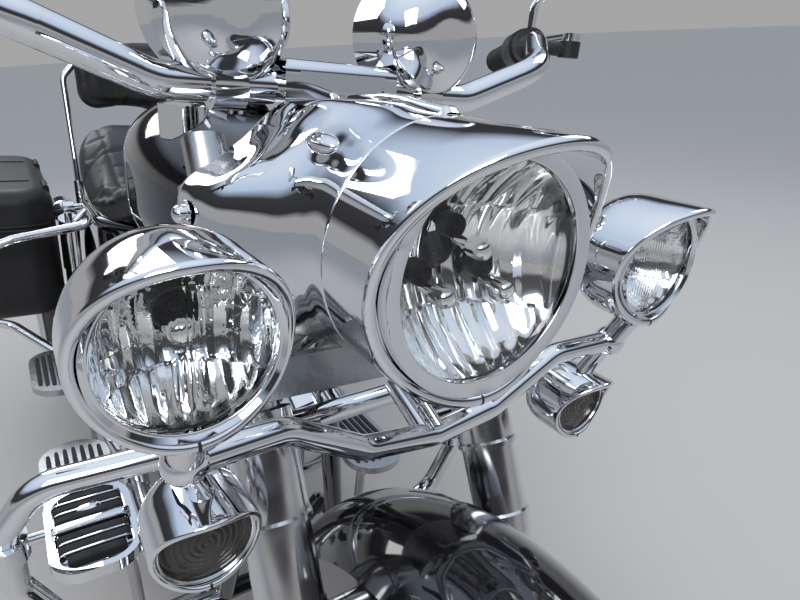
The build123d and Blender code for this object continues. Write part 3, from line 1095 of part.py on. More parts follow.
# Highway pegs: a small ribbed board inside each guard hoop, on an arm from a clamp on its side tube
PEG_Z = 500.0
PEG_X = 264.0
PEG_WIDTH = 94.0
PEG_LENGTH = 148.0
PEG_THICKNESS = 14.0
PEG_RIBS = 7
peg_y = GUARD_Y + 54 + 30 * (GUARD_TOP - 80 - PEG_Z) / (GUARD_TOP - 80 - 420)
pegs = []
for side in (-1, 1):
    clamp_x = side * GUARD_HALF
    ring = rod((clamp_x, peg_y - 5, PEG_Z + 17), (clamp_x, peg_y + 5, PEG_Z - 17), GUARD_RADIUS + 7)
    ring += rod((clamp_x, peg_y, PEG_Z), (side * (PEG_X + PEG_WIDTH / 2 - 8), peg_y, PEG_Z), 7)
    oval = RectangleRounded(PEG_WIDTH, PEG_LENGTH, PEG_WIDTH / 2 - 12)
    board = extrude(oval, amount=PEG_THICKNESS)
    board -= Pos(0, 0, 6) * extrude(offset(oval, -8), amount=PEG_THICKNESS)
    for rib in range(PEG_RIBS):
        along = (rib - (PEG_RIBS - 1) / 2) * (PEG_LENGTH - 28) / PEG_RIBS
        board += Pos(0, along, 3) * Box(PEG_WIDTH - 40, 8, PEG_THICKNESS, align=upward)
    ring += Pos(side * PEG_X, peg_y - 16, PEG_Z - 4) * board
    pegs.append(ring - tube(flipped(guard_route[2:6], side), GUARD_RADIUS + SEAT_GAP, GUARD_BEND))
nodes["highway_pegs"] = pegs

# Floorboards for rider and passenger, each on two brackets from the cradle
# Each row: front y, rear y, inner x, outer x, z, bracket ys
BOARDS = [
    (555, 915, 200, 318, 290, (575, 890)),
    (980, 1172, 206, 310, 374, (1050,)),
]
BOARD_THICKNESS = 14.0
boards = []
for front, rear, inner, outer, z, bracket_ys in BOARDS:
    half_y, half_x = (rear - front) / 2, (outer - inner) / 2
    for side in (-1, 1):
        plate_at = Pos(side * (inner + half_x), front + half_y, z)
        outline = RectangleRounded(2 * half_x, 2 * half_y, half_x - 4)
        board = plate_at * extrude(outline, amount=BOARD_THICKNESS)
        for y in bracket_ys:
            bracket = [(side * cradle_x(y), y, CRADLE_FLOOR - 2), (side * (inner + 6), y, CRADLE_FLOOR - 2),
                       (side * (inner + 12), y, z + 3)]
            board += tube(bracket, 9, 20)
        boards.append(off_frame(board))
nodes["floorboards"] = boards

# Side covers below the seat
cover_outline = make_face(Polyline(
    (1090, RAIL_HEIGHT - 205), (1110, RAIL_HEIGHT - 11), (1330, RAIL_HEIGHT - 15), (1318, RAIL_HEIGHT - 115),
    (1215, RAIL_HEIGHT - 205), close=True))
cover_outline = fillet(cover_outline.vertices(), 26)
side_covers = []
for side in (-1, 1):
    panel = slab(cover_outline, side * (CRADLE_HALF + 18), side * (CRADLE_HALF + 32))
    for y, z in ((PIVOT_Y - 15, RAIL_HEIGHT - 155), (PIVOT_Y - 28, RAIL_HEIGHT - 65)):
        panel += rod((side * (CRADLE_REAR_HALF - 2), y, z), (side * (CRADLE_HALF + 20), y, z), 7)
    side_covers.append(off_frame(panel))
nodes["side_covers"] = side_covers

# Side stand: a leg from a lug on the left cradle tube, its foot flat on the leaned ground
STAND_PIVOT = Vector(150, 640, 190)
STAND_FOOT_X = 300.0
STAND_FOOT_Y = 575.0
REAR_CROWN = 0.541 * REAR_TYRE_WIDTH
FOOT_THICKNESS = 8.0
LEG_RADIUS = 11.0
ground_sink = REAR_CROWN * (1 - cos(radians(LEAN)))
foot_z = STAND_FOOT_X * tan(radians(LEAN)) - ground_sink / cos(radians(LEAN))
foot_ground = Vector(STAND_FOOT_X, STAND_FOOT_Y, foot_z)
ground_up = Vector(-sin(radians(LEAN)), 0, cos(radians(LEAN)))
leg_down = foot_ground + ground_up * (FOOT_THICKNESS - 1)
stowed_run = Vector(0.16, 0.98, -0.09).normalized()
leg_run = (leg_down - STAND_PIVOT).normalized()
STAND_AXIS = leg_run.cross(stowed_run).normalized()
STAND_FOLD = leg_run.get_angle(stowed_run)
stand = rod(STAND_PIVOT, leg_down, LEG_RADIUS)
foot_plane = Plane(origin=foot_ground, x_dir=(cos(radians(LEAN)), 0, sin(radians(LEAN))), z_dir=ground_up)
stand += foot_plane * extrude(RectangleRounded(58, 46, 16), amount=FOOT_THICKNESS)
stand += rod(STAND_PIVOT - STAND_AXIS * 13, STAND_PIVOT + STAND_AXIS * 13, 19)
STAND_PIN = 7.0
stand -= rod(STAND_PIVOT - STAND_AXIS * 30, STAND_PIVOT + STAND_AXIS * 30, STAND_PIN + PIN_CLEARANCE)
nodes["side_stand"] = stand
stand_lug = rod(STAND_PIVOT - STAND_AXIS * 30, STAND_PIVOT + STAND_AXIS * 20, STAND_PIN)
stand_lug += rod(STAND_PIVOT + STAND_AXIS * 13.5, STAND_PIVOT + STAND_AXIS * 20, 12)
stand_lug += rod(STAND_PIVOT - STAND_AXIS * 32, STAND_PIVOT - STAND_AXIS * 13.5, 15)
for shift in (-22, 22):
    lug_foot = (CRADLE_HALF - 6, STAND_PIVOT.Y + shift, CRADLE_FLOOR)
    stand_lug += rod(STAND_PIVOT - STAND_AXIS * 23, lug_foot, 8)
nodes["frame_tubes"] = frame_tubes + stand_lug


# Lean the bike onto its stand, move it to its box's bottom centre and write one file per node
def solids_of(node):
    """A node's shapes as one flat list of solids."""
    shapes = node if isinstance(node, list) else [node]
    return [solid for shape in shapes for solid in shape.solids()]


leaned = {name: [Rot(0, LEAN, 0) * solid for solid in solids_of(node)] for name, node in nodes.items()}
whole_box = Compound([solid for solids in leaned.values() for solid in solids]).bounding_box()
bottom_centre = Vector(whole_box.center().X, whole_box.center().Y, whole_box.min.Z)
placement = Pos(-bottom_centre.X, -bottom_centre.Y, -bottom_centre.Z) * Rot(0, LEAN, 0)

os.makedirs("parts", exist_ok=True)
for name, node in nodes.items():
    placed = [placement * solid for solid in solids_of(node)]
    shape = placed[0] if len(placed) == 1 else Compound(placed)
    shape.label = name
    export_step(shape, f"parts/{name}.step")
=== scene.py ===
import bmesh
import bpy
import math
import numpy as np
from mathutils import Matrix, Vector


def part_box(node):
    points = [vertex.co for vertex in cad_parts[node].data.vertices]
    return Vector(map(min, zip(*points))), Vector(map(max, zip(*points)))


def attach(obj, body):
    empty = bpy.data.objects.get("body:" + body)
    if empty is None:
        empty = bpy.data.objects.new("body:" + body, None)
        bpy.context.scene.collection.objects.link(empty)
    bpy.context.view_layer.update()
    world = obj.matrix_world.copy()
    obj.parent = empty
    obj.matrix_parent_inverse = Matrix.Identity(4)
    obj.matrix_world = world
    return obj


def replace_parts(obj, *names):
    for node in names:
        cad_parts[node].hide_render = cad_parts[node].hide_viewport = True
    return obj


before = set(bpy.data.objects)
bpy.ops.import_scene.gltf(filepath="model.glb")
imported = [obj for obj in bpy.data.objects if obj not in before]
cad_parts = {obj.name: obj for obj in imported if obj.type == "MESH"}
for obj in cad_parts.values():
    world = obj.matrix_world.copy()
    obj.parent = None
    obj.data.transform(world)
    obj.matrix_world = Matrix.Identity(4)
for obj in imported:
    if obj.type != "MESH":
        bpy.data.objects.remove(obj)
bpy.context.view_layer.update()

# Places are given on the upright bike, in millimetres: X to the rider's left, Y to the rear,
# Z up, from the ground under the front axle. The parked bike leans on its stand, so each
# point is turned by the lean about Y and moved until the front hub meets the CAD's.
LEAN = math.radians(9)
HUB = np.array([0.0, 0.0, 320.0])
TURN = np.array([[math.cos(LEAN), 0, math.sin(LEAN)], [0, 1, 0], [-math.sin(LEAN), 0, math.cos(LEAN)]])
rim_low, rim_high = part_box("front_rim")
hub_centre = np.array(rim_low + rim_high) / 2


def placed(points):
    """Upright millimetres to leaned metres: a rotation about the hub, then the hub's own place."""
    return (np.asarray(points, float) - HUB) @ TURN.T / 1000 + hub_centre


# Camera: held just right of the bike's nose and looking down on the headlamp, rolled a little.
# Its axes are found on the upright bike and turned by the lean like everything else.
CAMERA_AT = np.array([-287.2, -199.4, 1031.1])
CAMERA_TO = np.array([-42.6, 140.4, 866.0])
CAMERA_ROLL = 0.0888
CAMERA_LENS = 25.34
camera_data = bpy.data.cameras.new("camera")
camera_data.lens = CAMERA_LENS
camera = bpy.data.objects.new("camera", camera_data)
bpy.context.scene.collection.objects.link(camera)
forward = (CAMERA_TO - CAMERA_AT) / np.linalg.norm(CAMERA_TO - CAMERA_AT)
right = np.cross(forward, [0, 0, 1])
right /= np.linalg.norm(right)
above = np.cross(right, forward)
side_axis = right * math.cos(CAMERA_ROLL) + above * math.sin(CAMERA_ROLL)
up_axis = above * math.cos(CAMERA_ROLL) - right * math.sin(CAMERA_ROLL)
axes = np.stack([side_axis, up_axis, -forward], 1)
camera_matrix = np.eye(4)
camera_matrix[:3, :3], camera_matrix[:3, 3] = TURN @ axes, placed(CAMERA_AT)
camera.matrix_world = Matrix(camera_matrix.tolist())
camera_data.clip_start = 0.02
bpy.context.scene.camera = camera


# Floor and light: a pale studio floor under a soft sky that is grey at the horizon, dark in a
# band above it and bright overhead, with three large soft lamps for the chrome to mirror.
MERGE_WITHIN = 2e-6


def material(name, **values):
    """A new material and its Principled shader, with plain sockets set by name."""
    made = bpy.data.materials.new(name)
    made.use_nodes = True
    shader = made.node_tree.nodes["Principled BSDF"]
    for key, value in values.items():
        shader.inputs[key.replace("_", " ")].default_value = value
    return made, shader


def quads(rows, cols, wrap_rows, wrap_cols):
    """The four corners of every cell of a grid, as rows of point numbers."""
    i = np.arange(rows if wrap_rows else rows - 1)[:, None]
    j = np.arange(cols if wrap_cols else cols - 1)[None, :]
    below, beside = (i + 1) % rows, (j + 1) % cols
    corners = [i * cols + j, i * cols + beside, below * cols + beside, below * cols + j]
    return np.stack([np.broadcast_to(c, (i.size, j.size)).ravel() for c in corners], 1)


def mesh_object(name, grids, finish, sharp=40, raw=False):
    """One mesh of several grids of points, each given as (points, wraps in rows, wraps in
    columns). Poles and seams are merged, normals made to point out, and corners sharper than
    a limit kept sharp."""
    points, faces, count = [], [], 0
    for grid, wrap_rows, wrap_cols in grids:
        grid = np.asarray(grid, float)
        points.append(grid.reshape(-1, 3))
        faces.append(quads(grid.shape[0], grid.shape[1], wrap_rows, wrap_cols) + count)
        count += grid.shape[0] * grid.shape[1]
    points, faces = np.concatenate(points), np.concatenate(faces)
    mesh = bpy.data.meshes.new(name)
    mesh.from_pydata((points if raw else placed(points)).tolist(), [], faces.tolist())
    work = bmesh.new()
    work.from_mesh(mesh)
    bmesh.ops.remove_doubles(work, verts=work.verts, dist=MERGE_WITHIN)
    bmesh.ops.recalc_face_normals(work, faces=work.faces)
    work.to_mesh(mesh)
    work.free()
    mesh.polygons.foreach_set("use_smooth", [True] * len(mesh.polygons))
    mesh.set_sharp_from_angle(angle=math.radians(sharp))
    mesh.materials.append(finish)
    made = bpy.data.objects.new(name, mesh)
    bpy.context.scene.collection.objects.link(made)
    return made


floor_finish, floor_shader = material(
    "pale studio floor", Base_Color=(0.52, 0.49, 0.455, 1), Roughness=0.6)
floor_turn = np.linspace(0, 2 * math.pi, 97)[:-1]
floor_reach = np.array([0.0, 1.0, 3.0, 9.0, 30.0])
disc = np.stack([np.outer(floor_reach, np.cos(floor_turn)), np.outer(floor_reach, np.sin(floor_turn)),
                 np.zeros((floor_reach.size, floor_turn.size))], 2)
floor = mesh_object("floor", [(disc, False, True)], floor_finish, raw=True)
grain = floor_finish.node_tree.nodes.new("ShaderNodeTexNoise")
grain.inputs["Scale"].default_value = 60
grain_bump = floor_finish.node_tree.nodes.new("ShaderNodeBump")
grain_bump.inputs["Strength"].default_value = 0.05
floor_finish.node_tree.links.new(grain.outputs["Fac"], grain_bump.inputs["Height"])
floor_finish.node_tree.links.new(grain_bump.outputs["Normal"], floor_shader.inputs["Normal"])

world = bpy.data.worlds.new("soft sky")
bpy.context.scene.world = world
world.use_nodes = True
sky = world.node_tree.nodes
sky_place = sky.new("ShaderNodeTexCoord")
sky_split = sky.new("ShaderNodeSeparateXYZ")
sky_ramp = sky.new("ShaderNodeValToRGB")
world.node_tree.links.new(sky_place.outputs["Generated"], sky_split.inputs["Vector"])
world.node_tree.links.new(sky_split.outputs["Z"], sky_ramp.inputs["Fac"])
world.node_tree.links.new(sky_ramp.outputs["Color"], sky["Background"].inputs["Color"])
# Sky table: rise above the horizon as a share of straight up, colour
SKY = [(0.0, (0.38, 0.38, 0.385)), (0.12, (0.38, 0.38, 0.385)), (0.19, (0.035, 0.035, 0.04)),
       (0.40, (0.05, 0.05, 0.055)), (0.56, (0.55, 0.66, 0.84)), (1.0, (0.86, 0.94, 1.05))]
for number, (at, colour) in enumerate(SKY):
    stops = sky_ramp.color_ramp.elements
    stop = stops[number] if number < 2 else stops.new(at)
    stop.position, stop.color = at, (*colour, 1)
# Lamp table: place in metres, turn in degrees, size in metres, watts
SOFTBOXES = [((-1.6, -2.4, 3.0), (48, 0, -34), 1.5, 46), ((2.6, -0.4, 2.6), (48, 0, 82), 1.3, 20),
             ((-0.6, 2.6, 2.6), (-52, 0, 8), 1.5, 26)]
for place, turn, size, power in SOFTBOXES:
    lamp_data = bpy.data.lights.new("softbox", "AREA")
    lamp_data.shape, lamp_data.size, lamp_data.energy = "SQUARE", size, power
    lamp = bpy.data.objects.new("softbox", lamp_data)
    lamp.location, lamp.rotation_euler = place, [math.radians(t) for t in turn]
    bpy.context.scene.collection.objects.link(lamp)
bpy.context.scene.view_settings.view_transform = "Standard"


# Nacelle hood: pressed steel, chromed, in one skin from the headlamp's seam back round the
# fork. Its floor is open behind the lamp, and its rear edge is notched for the bar's clamps.
def node_group(name, inputs, outputs):
    """A shader node group with named number inputs and named outputs, and its two end nodes."""
    group = bpy.data.node_groups.new(name, "ShaderNodeTree")
    for label, value in inputs.items():
        socket = group.interface.new_socket(label, in_out="INPUT", socket_type="NodeSocketFloat")
        socket.default_value = value
    for label, kind in outputs.items():
        group.interface.new_socket(label, in_out="OUTPUT", socket_type=kind)
    return group, group.nodes.new("NodeGroupInput"), group.nodes.new("NodeGroupOutput")


# Smears: noise over the piece, spread between a low and a high roughness, and a faint height
smears, smears_in, smears_out = node_group(
    "smears", {"Scale": 9.0, "Low": 0.02, "High": 0.08},
    {"Roughness": "NodeSocketFloat", "Height": "NodeSocketFloat"})
where = smears.nodes.new("ShaderNodeTexCoord")
cloud = smears.nodes.new("ShaderNodeTexNoise")
cloud.inputs["Detail"].default_value = 7
cloud.inputs["Roughness"].default_value = 0.62
spread = smears.nodes.new("ShaderNodeMapRange")
spread.inputs["From Min"].default_value, spread.inputs["From Max"].default_value = 0.38, 0.72
smears.links.new(where.outputs["Object"], cloud.inputs["Vector"])
smears.links.new(smears_in.outputs["Scale"], cloud.inputs["Scale"])
smears.links.new(cloud.outputs["Fac"], spread.inputs["Value"])
smears.links.new(smears_in.outputs["Low"], spread.inputs["To Min"])
smears.links.new(smears_in.outputs["High"], spread.inputs["To Max"])
smears.links.new(spread.outputs["Result"], smears_out.inputs["Roughness"])
smears.links.new(cloud.outputs["Fac"], smears_out.inputs["Height"])


def use_group(made, group, **values):
    """A group's node placed in a material, with its inputs set by name."""
    node = made.node_tree.nodes.new("ShaderNodeGroup")
    node.node_tree = group
    for key, value in values.items():
        node.inputs[key].default_value = value
    return node


def smeared(name, scale, low, high, bump=0.0, **values):
    """A material whose roughness wanders between two values, with an optional faint bump."""
    bump_height = 0.002
    made, shader = material(name, **values)
    node = use_group(made, smears, Scale=scale, Low=low, High=high)
    links = made.node_tree.links
    links.new(node.outputs["Roughness"], shader.inputs["Roughness"])
    if bump:
        height = made.node_tree.nodes.new("ShaderNodeBump")
        height.inputs["Strength"].default_value = bump
        height.inputs["Distance"].default_value = bump_height
        links.new(node.outputs["Height"], height.inputs["Height"])
        links.new(height.outputs["Normal"], shader.inputs["Normal"])
    return made


chrome = smeared("show chrome", 9, 0.015, 0.07, Base_Color=(0.80, 0.81, 0.83, 1), Metallic=1.0)


def eased(at, table):
    """Rows of a table read at any places along its first column, on smooth cubic curves whose
    slopes are the neighbours' mean, held flat at a turning point so that nothing overshoots."""
    table = np.asarray(table, float)
    x, y = table[:, 0], table[:, 1:]
    run = np.diff(x)[:, None]
    rise = np.diff(y, axis=0) / run
    slope = np.concatenate([rise[:1], (rise[1:] + rise[:-1]) / 2, rise[-1:]])
    turns = np.concatenate([rise[:1] * 0 + 1, rise[1:] * rise[:-1], rise[-1:] * 0 + 1])
    slope = np.where(turns <= 0, 0, slope)
    cell = np.clip(np.searchsorted(x, at, side="right") - 1, 0, len(x) - 2)
    t = ((np.asarray(at) - x[cell]) / np.diff(x)[cell])[:, None]
    h = run[cell]
    return ((2 * t**3 - 3 * t**2 + 1) * y[cell] + (t**3 - 2 * t**2 + t) * h * slope[cell]
            + (3 * t**2 - 2 * t**3) * y[cell + 1] + (t**3 - t**2) * h * slope[cell + 1])


def squared(turn, power):
    """Cosine and sine drawn out towards a square: each raised to 2 / power, sign kept."""
    c, s = np.cos(turn), np.sin(turn)
    return np.sign(c) * abs(c) ** (2 / power), np.sign(s) * abs(s) ** (2 / power)


# Columns: y, half width, middle height, half height, squareness
HOOD = [(150, 108, 900, 108, 2.0), (186, 110, 899, 110, 2.1), (215, 118, 898, 113, 2.3),
        (240, 136, 896, 115, 2.7), (262, 152, 894, 116, 3.1), (290, 161, 891, 116, 3.5),
        (326, 166, 887, 116.5, 3.8)]
HOOD_FRONT, HOOD_REAR = 150.4, 326.0
HOOD_OPEN_TO = 806.0
HOOD_WALL = 2.5
NOTCH_DEPTH, NOTCH_SHARE, NOTCH_SLOPE = 8, 0.2, 90
across = np.linspace(-1, 1, 161)
along = np.linspace(0, 1, 60)[:, None]
notch = HOOD_REAR - NOTCH_DEPTH / (1 + np.exp((abs(across) - NOTCH_SHARE) * NOTCH_SLOPE))
hood_y = HOOD_FRONT + along * (notch - HOOD_FRONT)
shape = eased(hood_y.ravel(), HOOD).reshape(*hood_y.shape, 4)
half_width, middle, half_height, power = np.moveaxis(shape, 2, 0)
open_share = np.clip((middle - HOOD_OPEN_TO) / half_height, 0, 1)
open_turn = math.pi - np.arccos(open_share ** (power / 2))
# Columns within the skirt's share follow the hood's sides; the rest close its floor in front
SKIRT = 0.86
HOOD_FLOOR_END = 205.0
floor_share = np.clip((abs(across) - SKIRT) / (1 - SKIRT), 0, 1) * (hood_y < HOOD_FLOOR_END)
turn = np.clip(across / SKIRT, -1, 1) * open_turn
turn = turn + np.sign(across) * floor_share * (math.pi - open_turn)
upward, outward = squared(turn, power)
# The wings: the hood's shoulders drop beside its round middle, more towards the rear
WING_DROP = 50.0
SHOULDER_FROM, SHOULDER_RUN = 0.34, 0.52
DROP_FROM, DROP_RUN = 168, 130
shoulder = np.clip((abs(outward) - SHOULDER_FROM) / SHOULDER_RUN, 0, 1)
rearward = np.clip((hood_y - DROP_FROM) / DROP_RUN, 0, 1)
drop = WING_DROP * shoulder**2 * (3 - 2 * shoulder) * rearward**2 * (3 - 2 * rearward)
drop = drop * np.clip(upward, 0, 1)
hood_points = np.stack([half_width * outward, hood_y, middle + half_height * upward - drop], 2)
hood = mesh_object("nacelle_hood", [(hood_points, False, False)], chrome)


def thickened(piece, thickness):
    """Gives a skin its wall, inwards, from millimetres to metres."""
    wall = piece.modifiers.new("wall", "SOLIDIFY")
    wall.thickness, wall.offset = thickness / 1000, -1
    return piece


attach(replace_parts(thickened(hood, HOOD_WALL), "nacelle"), "steering")


# Headlamp trim and the four lamps: spun chrome shells with rolled rims and peaked visors,
# each cut at the front on one curve from a level foot to the visor's tip
HEADLAMP = dict(x=0, y=78, z=900, radius=108, visor=52, glass=86, barrel=71.5, depth=71.5, bead=5.0)
SPOT = dict(x=219, y=80, z=884, radius=62, visor=30, glass=50, barrel=34, depth=84, bead=3.6)
SIGNAL = dict(x=206, y=122, z=708, radius=40.5, visor=26, glass=33, barrel=34, depth=62, bead=2.6)
GLASS_SET_BACK = 6.0
SHELL_WALL = 3
RIM_BEND = 0.86


def rim_line(lamp, height, lip=4.0):
    """How far forward a shell's rim stands at a height: an arc from its foot to its tip, whose
    radius is a share of their distance."""
    radius, visor = lamp["radius"], lamp["visor"]
    run = np.array([lip - visor, 2 * radius])
    chord = np.hypot(*run)
    bite = RIM_BEND * chord
    stand_off = math.sqrt(bite**2 - chord**2 / 4)
    centre_y = -(lip + visor) / 2 - run[1] / chord * stand_off
    centre_z = run[0] / chord * stand_off
    return centre_y + np.sqrt(bite**2 - (height - centre_z) ** 2)


def arc(centre, radius, start, end, steps):
    """Points (y, radius) on an arc between two angles in degrees, 0 pointing outwards."""
    turn = np.radians(np.linspace(start, end, steps))
    return [(centre[0] - radius * math.sin(t), centre[1] + radius * math.cos(t)) for t in turn]


def shell_grid(lamp, place):
    """A lamp shell: a profile of (y, radius, share of the rim's line) spun about Y."""
    r, bead, glass = lamp["radius"], lamp["bead"], lamp["glass"]
    depth, barrel = lamp["depth"], lamp["barrel"]
    back = depth - barrel
    inner = r - SHELL_WALL
    rows = [(depth, 0, 0)] if back else [(depth, inner, 0)]
    rows += [(y, q, 0) for y, q in arc((barrel, r - back), back, -90, 0, 9)]
    rows += [(barrel - (barrel - 4) * s, r, 0) for s in (0.3, 0.6, 0.85)]
    rows += [(y, q, 1) for y, q in arc((bead, r - bead), bead, 0, 180, 9)]
    rows += [(1, r - 2 * bead, 0.55), (-1, r - 2 * bead - 0.4, 0)]
    rows += [(y, q, 0) for y, q in arc((2.4, glass + 1.2), 1.2, 60, 180, 5)]
    rows += [(GLASS_SET_BACK + 7, glass, 0), (GLASS_SET_BACK + 8, inner, 0), (barrel, inner, 0)]
    if back:
        rows += [(y, q, 0) for y, q in arc((barrel, r - back), back - SHELL_WALL, 0, -90, 9)]
        rows += [(depth - SHELL_WALL, 0, 0)]
    y, radius, share = np.array(rows).T
    turn = np.linspace(0, 2 * math.pi, 145)[:-1]
    x, z = np.outer(radius, np.sin(turn)), np.outer(radius, np.cos(turn))
    front = rim_line(lamp, r * np.cos(turn))
    depth_in = y[:, None] + share[:, None] * front
    return np.stack([place[0] + x, place[1] + depth_in, place[2] + z], 2), not back, True


def lamp_at(lamp, side):
    """A lamp's centre on one side: its place with X turned by the side's sign."""
    return side * lamp["x"], lamp["y"], lamp["z"]


trim = mesh_object("headlamp_ring", [shell_grid(HEADLAMP, lamp_at(HEADLAMP, 0))], chrome, sharp=50)
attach(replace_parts(trim, "headlamp_trim"), "steering")
cup_grids = [shell_grid(lamp, lamp_at(lamp, side)) for lamp in (SPOT, SIGNAL) for side in (-1, 1)]
shells = mesh_object("lamp_cups", cup_grids, chrome, sharp=50)
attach(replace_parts(shells, "lamp_shells"), "steering")

# Reflectors: a silvered dish in the headlamp and in each passing lamp, pressed in upright strips
# that fan the light, with a bulb under a plated cap on its stem and a dark moulded socket patch
BOWL_GAP = 5.0
BULB_SIZE, BULB_SET_BACK = 9, 18


def spun_grid(profile, centre, steps=72):
    """A profile of (y, radius) spun about a Y line through a centre."""
    y, radius = np.array(profile, float).T
    turn = np.linspace(0, 2 * math.pi, steps + 1)[:-1]
    x, z = np.outer(radius, np.sin(turn)), np.outer(radius, np.cos(turn))
    y = np.repeat(y[:, None], steps, 1)
    return np.stack([centre[0] + x, centre[1] + y, centre[2] + z], 2), False, True


def reflector_grid(lamp, side, depth, strips, flat=0.18, rise=2.2, half_split=0.45):
    """A paraboloid dish, its depth falling with the radius squared, with a rounded ripple across
    each upright strip and a small step between the strips of its upper and lower halves."""
    share = np.linspace(1, flat, 40)[:, None]
    turn = np.linspace(0, 2 * math.pi, 217)[None, :-1]
    x, z = lamp["glass"] * share * np.sin(turn), lamp["glass"] * share * np.cos(turn)
    strip = 2 * lamp["glass"] / strips
    lane = x / strip + 0.5 * (np.abs(z) < half_split * lamp["glass"])
    ripple = rise * np.abs(np.sin(math.pi * lane)) * np.clip((1 - share) * 9, 0, 1)
    y = GLASS_SET_BACK + BOWL_GAP + depth * (1 - share**2) - ripple
    cx, cy, cz = lamp_at(lamp, side)
    return np.stack([cx + x, cy + y, cz + z], 2), False, True


def bulb_grid(lamp, side, aside, up):
    """A bulb's plated cap on a thin stem, standing forward from the dish: shares of its size,
    spun about its own Y line."""
    cx, cy, cz = lamp_at(lamp, side)
    rows = [(0, 0), *arc((0.8, 0.12), 0.8, 90, 0, 9), (1.7, 0.9), (2.2, 0.45), (3.4, 0.45)]
    return spun_grid(np.array(rows) * BULB_SIZE, (cx + aside, cy + BULB_SET_BACK, cz + up), 40)


bowl_grids = [reflector_grid(HEADLAMP, 0, 62, 11)]
bowl_grids += [reflector_grid(SPOT, side, 40, 9) for side in (-1, 1)]
# Each bulb's and socket's place in its lamp: side, sideways, up, socket's depth and radius
BULBS = [(HEADLAMP, 0, -29, -10, 54, 10), (HEADLAMP, 0, 29, -10, 54, 10), (HEADLAMP, 0, 0, 24, 56, 10),
         (SPOT, -1, 0, 13, 36, 13), (SPOT, 1, 0, 13, 36, 13)]
bowl_grids += [bulb_grid(lamp, side, aside, up - BULB_SIZE) for lamp, side, aside, up, *_ in BULBS]
silvered = smeared("silvered dish", 14, 0.03, 0.09, Base_Color=(0.88, 0.88, 0.87, 1), Metallic=1.0)
bowls = mesh_object("reflector_dishes", bowl_grids, silvered, sharp=24)
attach(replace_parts(bowls, "lamp_bowls"), "steering")
# Socket patches: black discs behind the bulbs, ribbed in rings by turns high and low
PATCH_RINGS, PATCH_HEIGHT, PATCH_RIB = 12, 9, 1.6
patch_grids = []
for lamp, side, aside, up, depth, size in BULBS:
    cx, cy, cz = lamp_at(lamp, side)
    foot = GLASS_SET_BACK + depth
    ribs = [(foot - PATCH_HEIGHT - (ring % 2) * PATCH_RIB, size * (1 - ring / PATCH_RINGS))
            for ring in range(PATCH_RINGS)]
    patch_grids.append(spun_grid([(foot, size)] + ribs, (cx + aside, cy, cz + up), 36))
moulded = smeared("moulded black", 40, 0.35, 0.55, bump=0.1, Base_Color=(0.012, 0.012, 0.013, 1))
patches = mesh_object("bulb_sockets", patch_grids, moulded, sharp=20)
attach(patches, "steering")

# Glasses: a clear domed pane in the headlamp, clear panes moulded on their backs with upright
# flutes in the passing lamps, and smoked panes with concentric rings in the signals
clear_glass, glass_shader = material(
    "clear lamp glass", Base_Color=(0.985, 0.99, 0.99, 1), Transmission_Weight=1.0, IOR=1.3,
    Roughness=0.0)
glass_dust = use_group(clear_glass, smears, Scale=26, Low=0.0, High=0.035)
clear_glass.node_tree.links.new(glass_dust.outputs["Roughness"], glass_shader.inputs["Roughness"])


def pane_grid(centre, radius, bulge, flutes=0, rings=0, wide=1.0, turn_round=1, thickness=4.0):
    """A pane: a shallow dome in front and a back whose depth swings with the sideways place,
    as upright flutes, or with the radius, as rings that half show in front too."""
    turn = np.linspace(0, 2 * math.pi, 145)[None, :-1]
    out = np.linspace(0, 1, 28)[:, None]
    front = -bulge * (1 - out**2) + 0 * turn
    moulded_to = 0.97
    ripple = 0 * (out * turn)
    if flutes:
        ripple = wide * np.abs(np.sin(math.pi * flutes * out * np.sin(turn) / 2)) * (out < moulded_to)
    if rings:
        ripple = wide * (0.5 - 0.5 * np.cos(2 * math.pi * rings * out)) * (out < moulded_to) + 0 * turn
        front = front + 0.5 * ripple
    back = thickness - ripple
    share = np.concatenate([out, out[::-1]])
    y = np.concatenate([front, back[::-1]]) + GLASS_SET_BACK
    x, z = radius * share * np.sin(turn), radius * share * np.cos(turn)
    points = np.stack([centre[0] + turn_round * x, centre[1] + turn_round * y, centre[2] + z], 2)
    return points, False, True


pane_grids = [pane_grid(lamp_at(HEADLAMP, 0), HEADLAMP["glass"], 9)]
pane_grids += [pane_grid(lamp_at(SPOT, side), SPOT["glass"], 6, flutes=26, wide=0.7) for side in (-1, 1)]
panes = mesh_object("lamp_panes", pane_grids, clear_glass, sharp=30)
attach(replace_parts(panes, "lamp_glasses"), "steering")
smoked = smeared("smoked lens", 18, 0.04, 0.12, Base_Color=(0.11, 0.095, 0.085, 1),
                 Transmission_Weight=0.55, IOR=1.45)
lens_grids = [pane_grid(lamp_at(SIGNAL, side), SIGNAL["glass"], 5, rings=7, wide=1.4) for side in (-1, 1)]
lenses = mesh_object("signal_panes", lens_grids, smoked, sharp=25)
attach(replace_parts(lenses, "signal_lenses"), "steering")

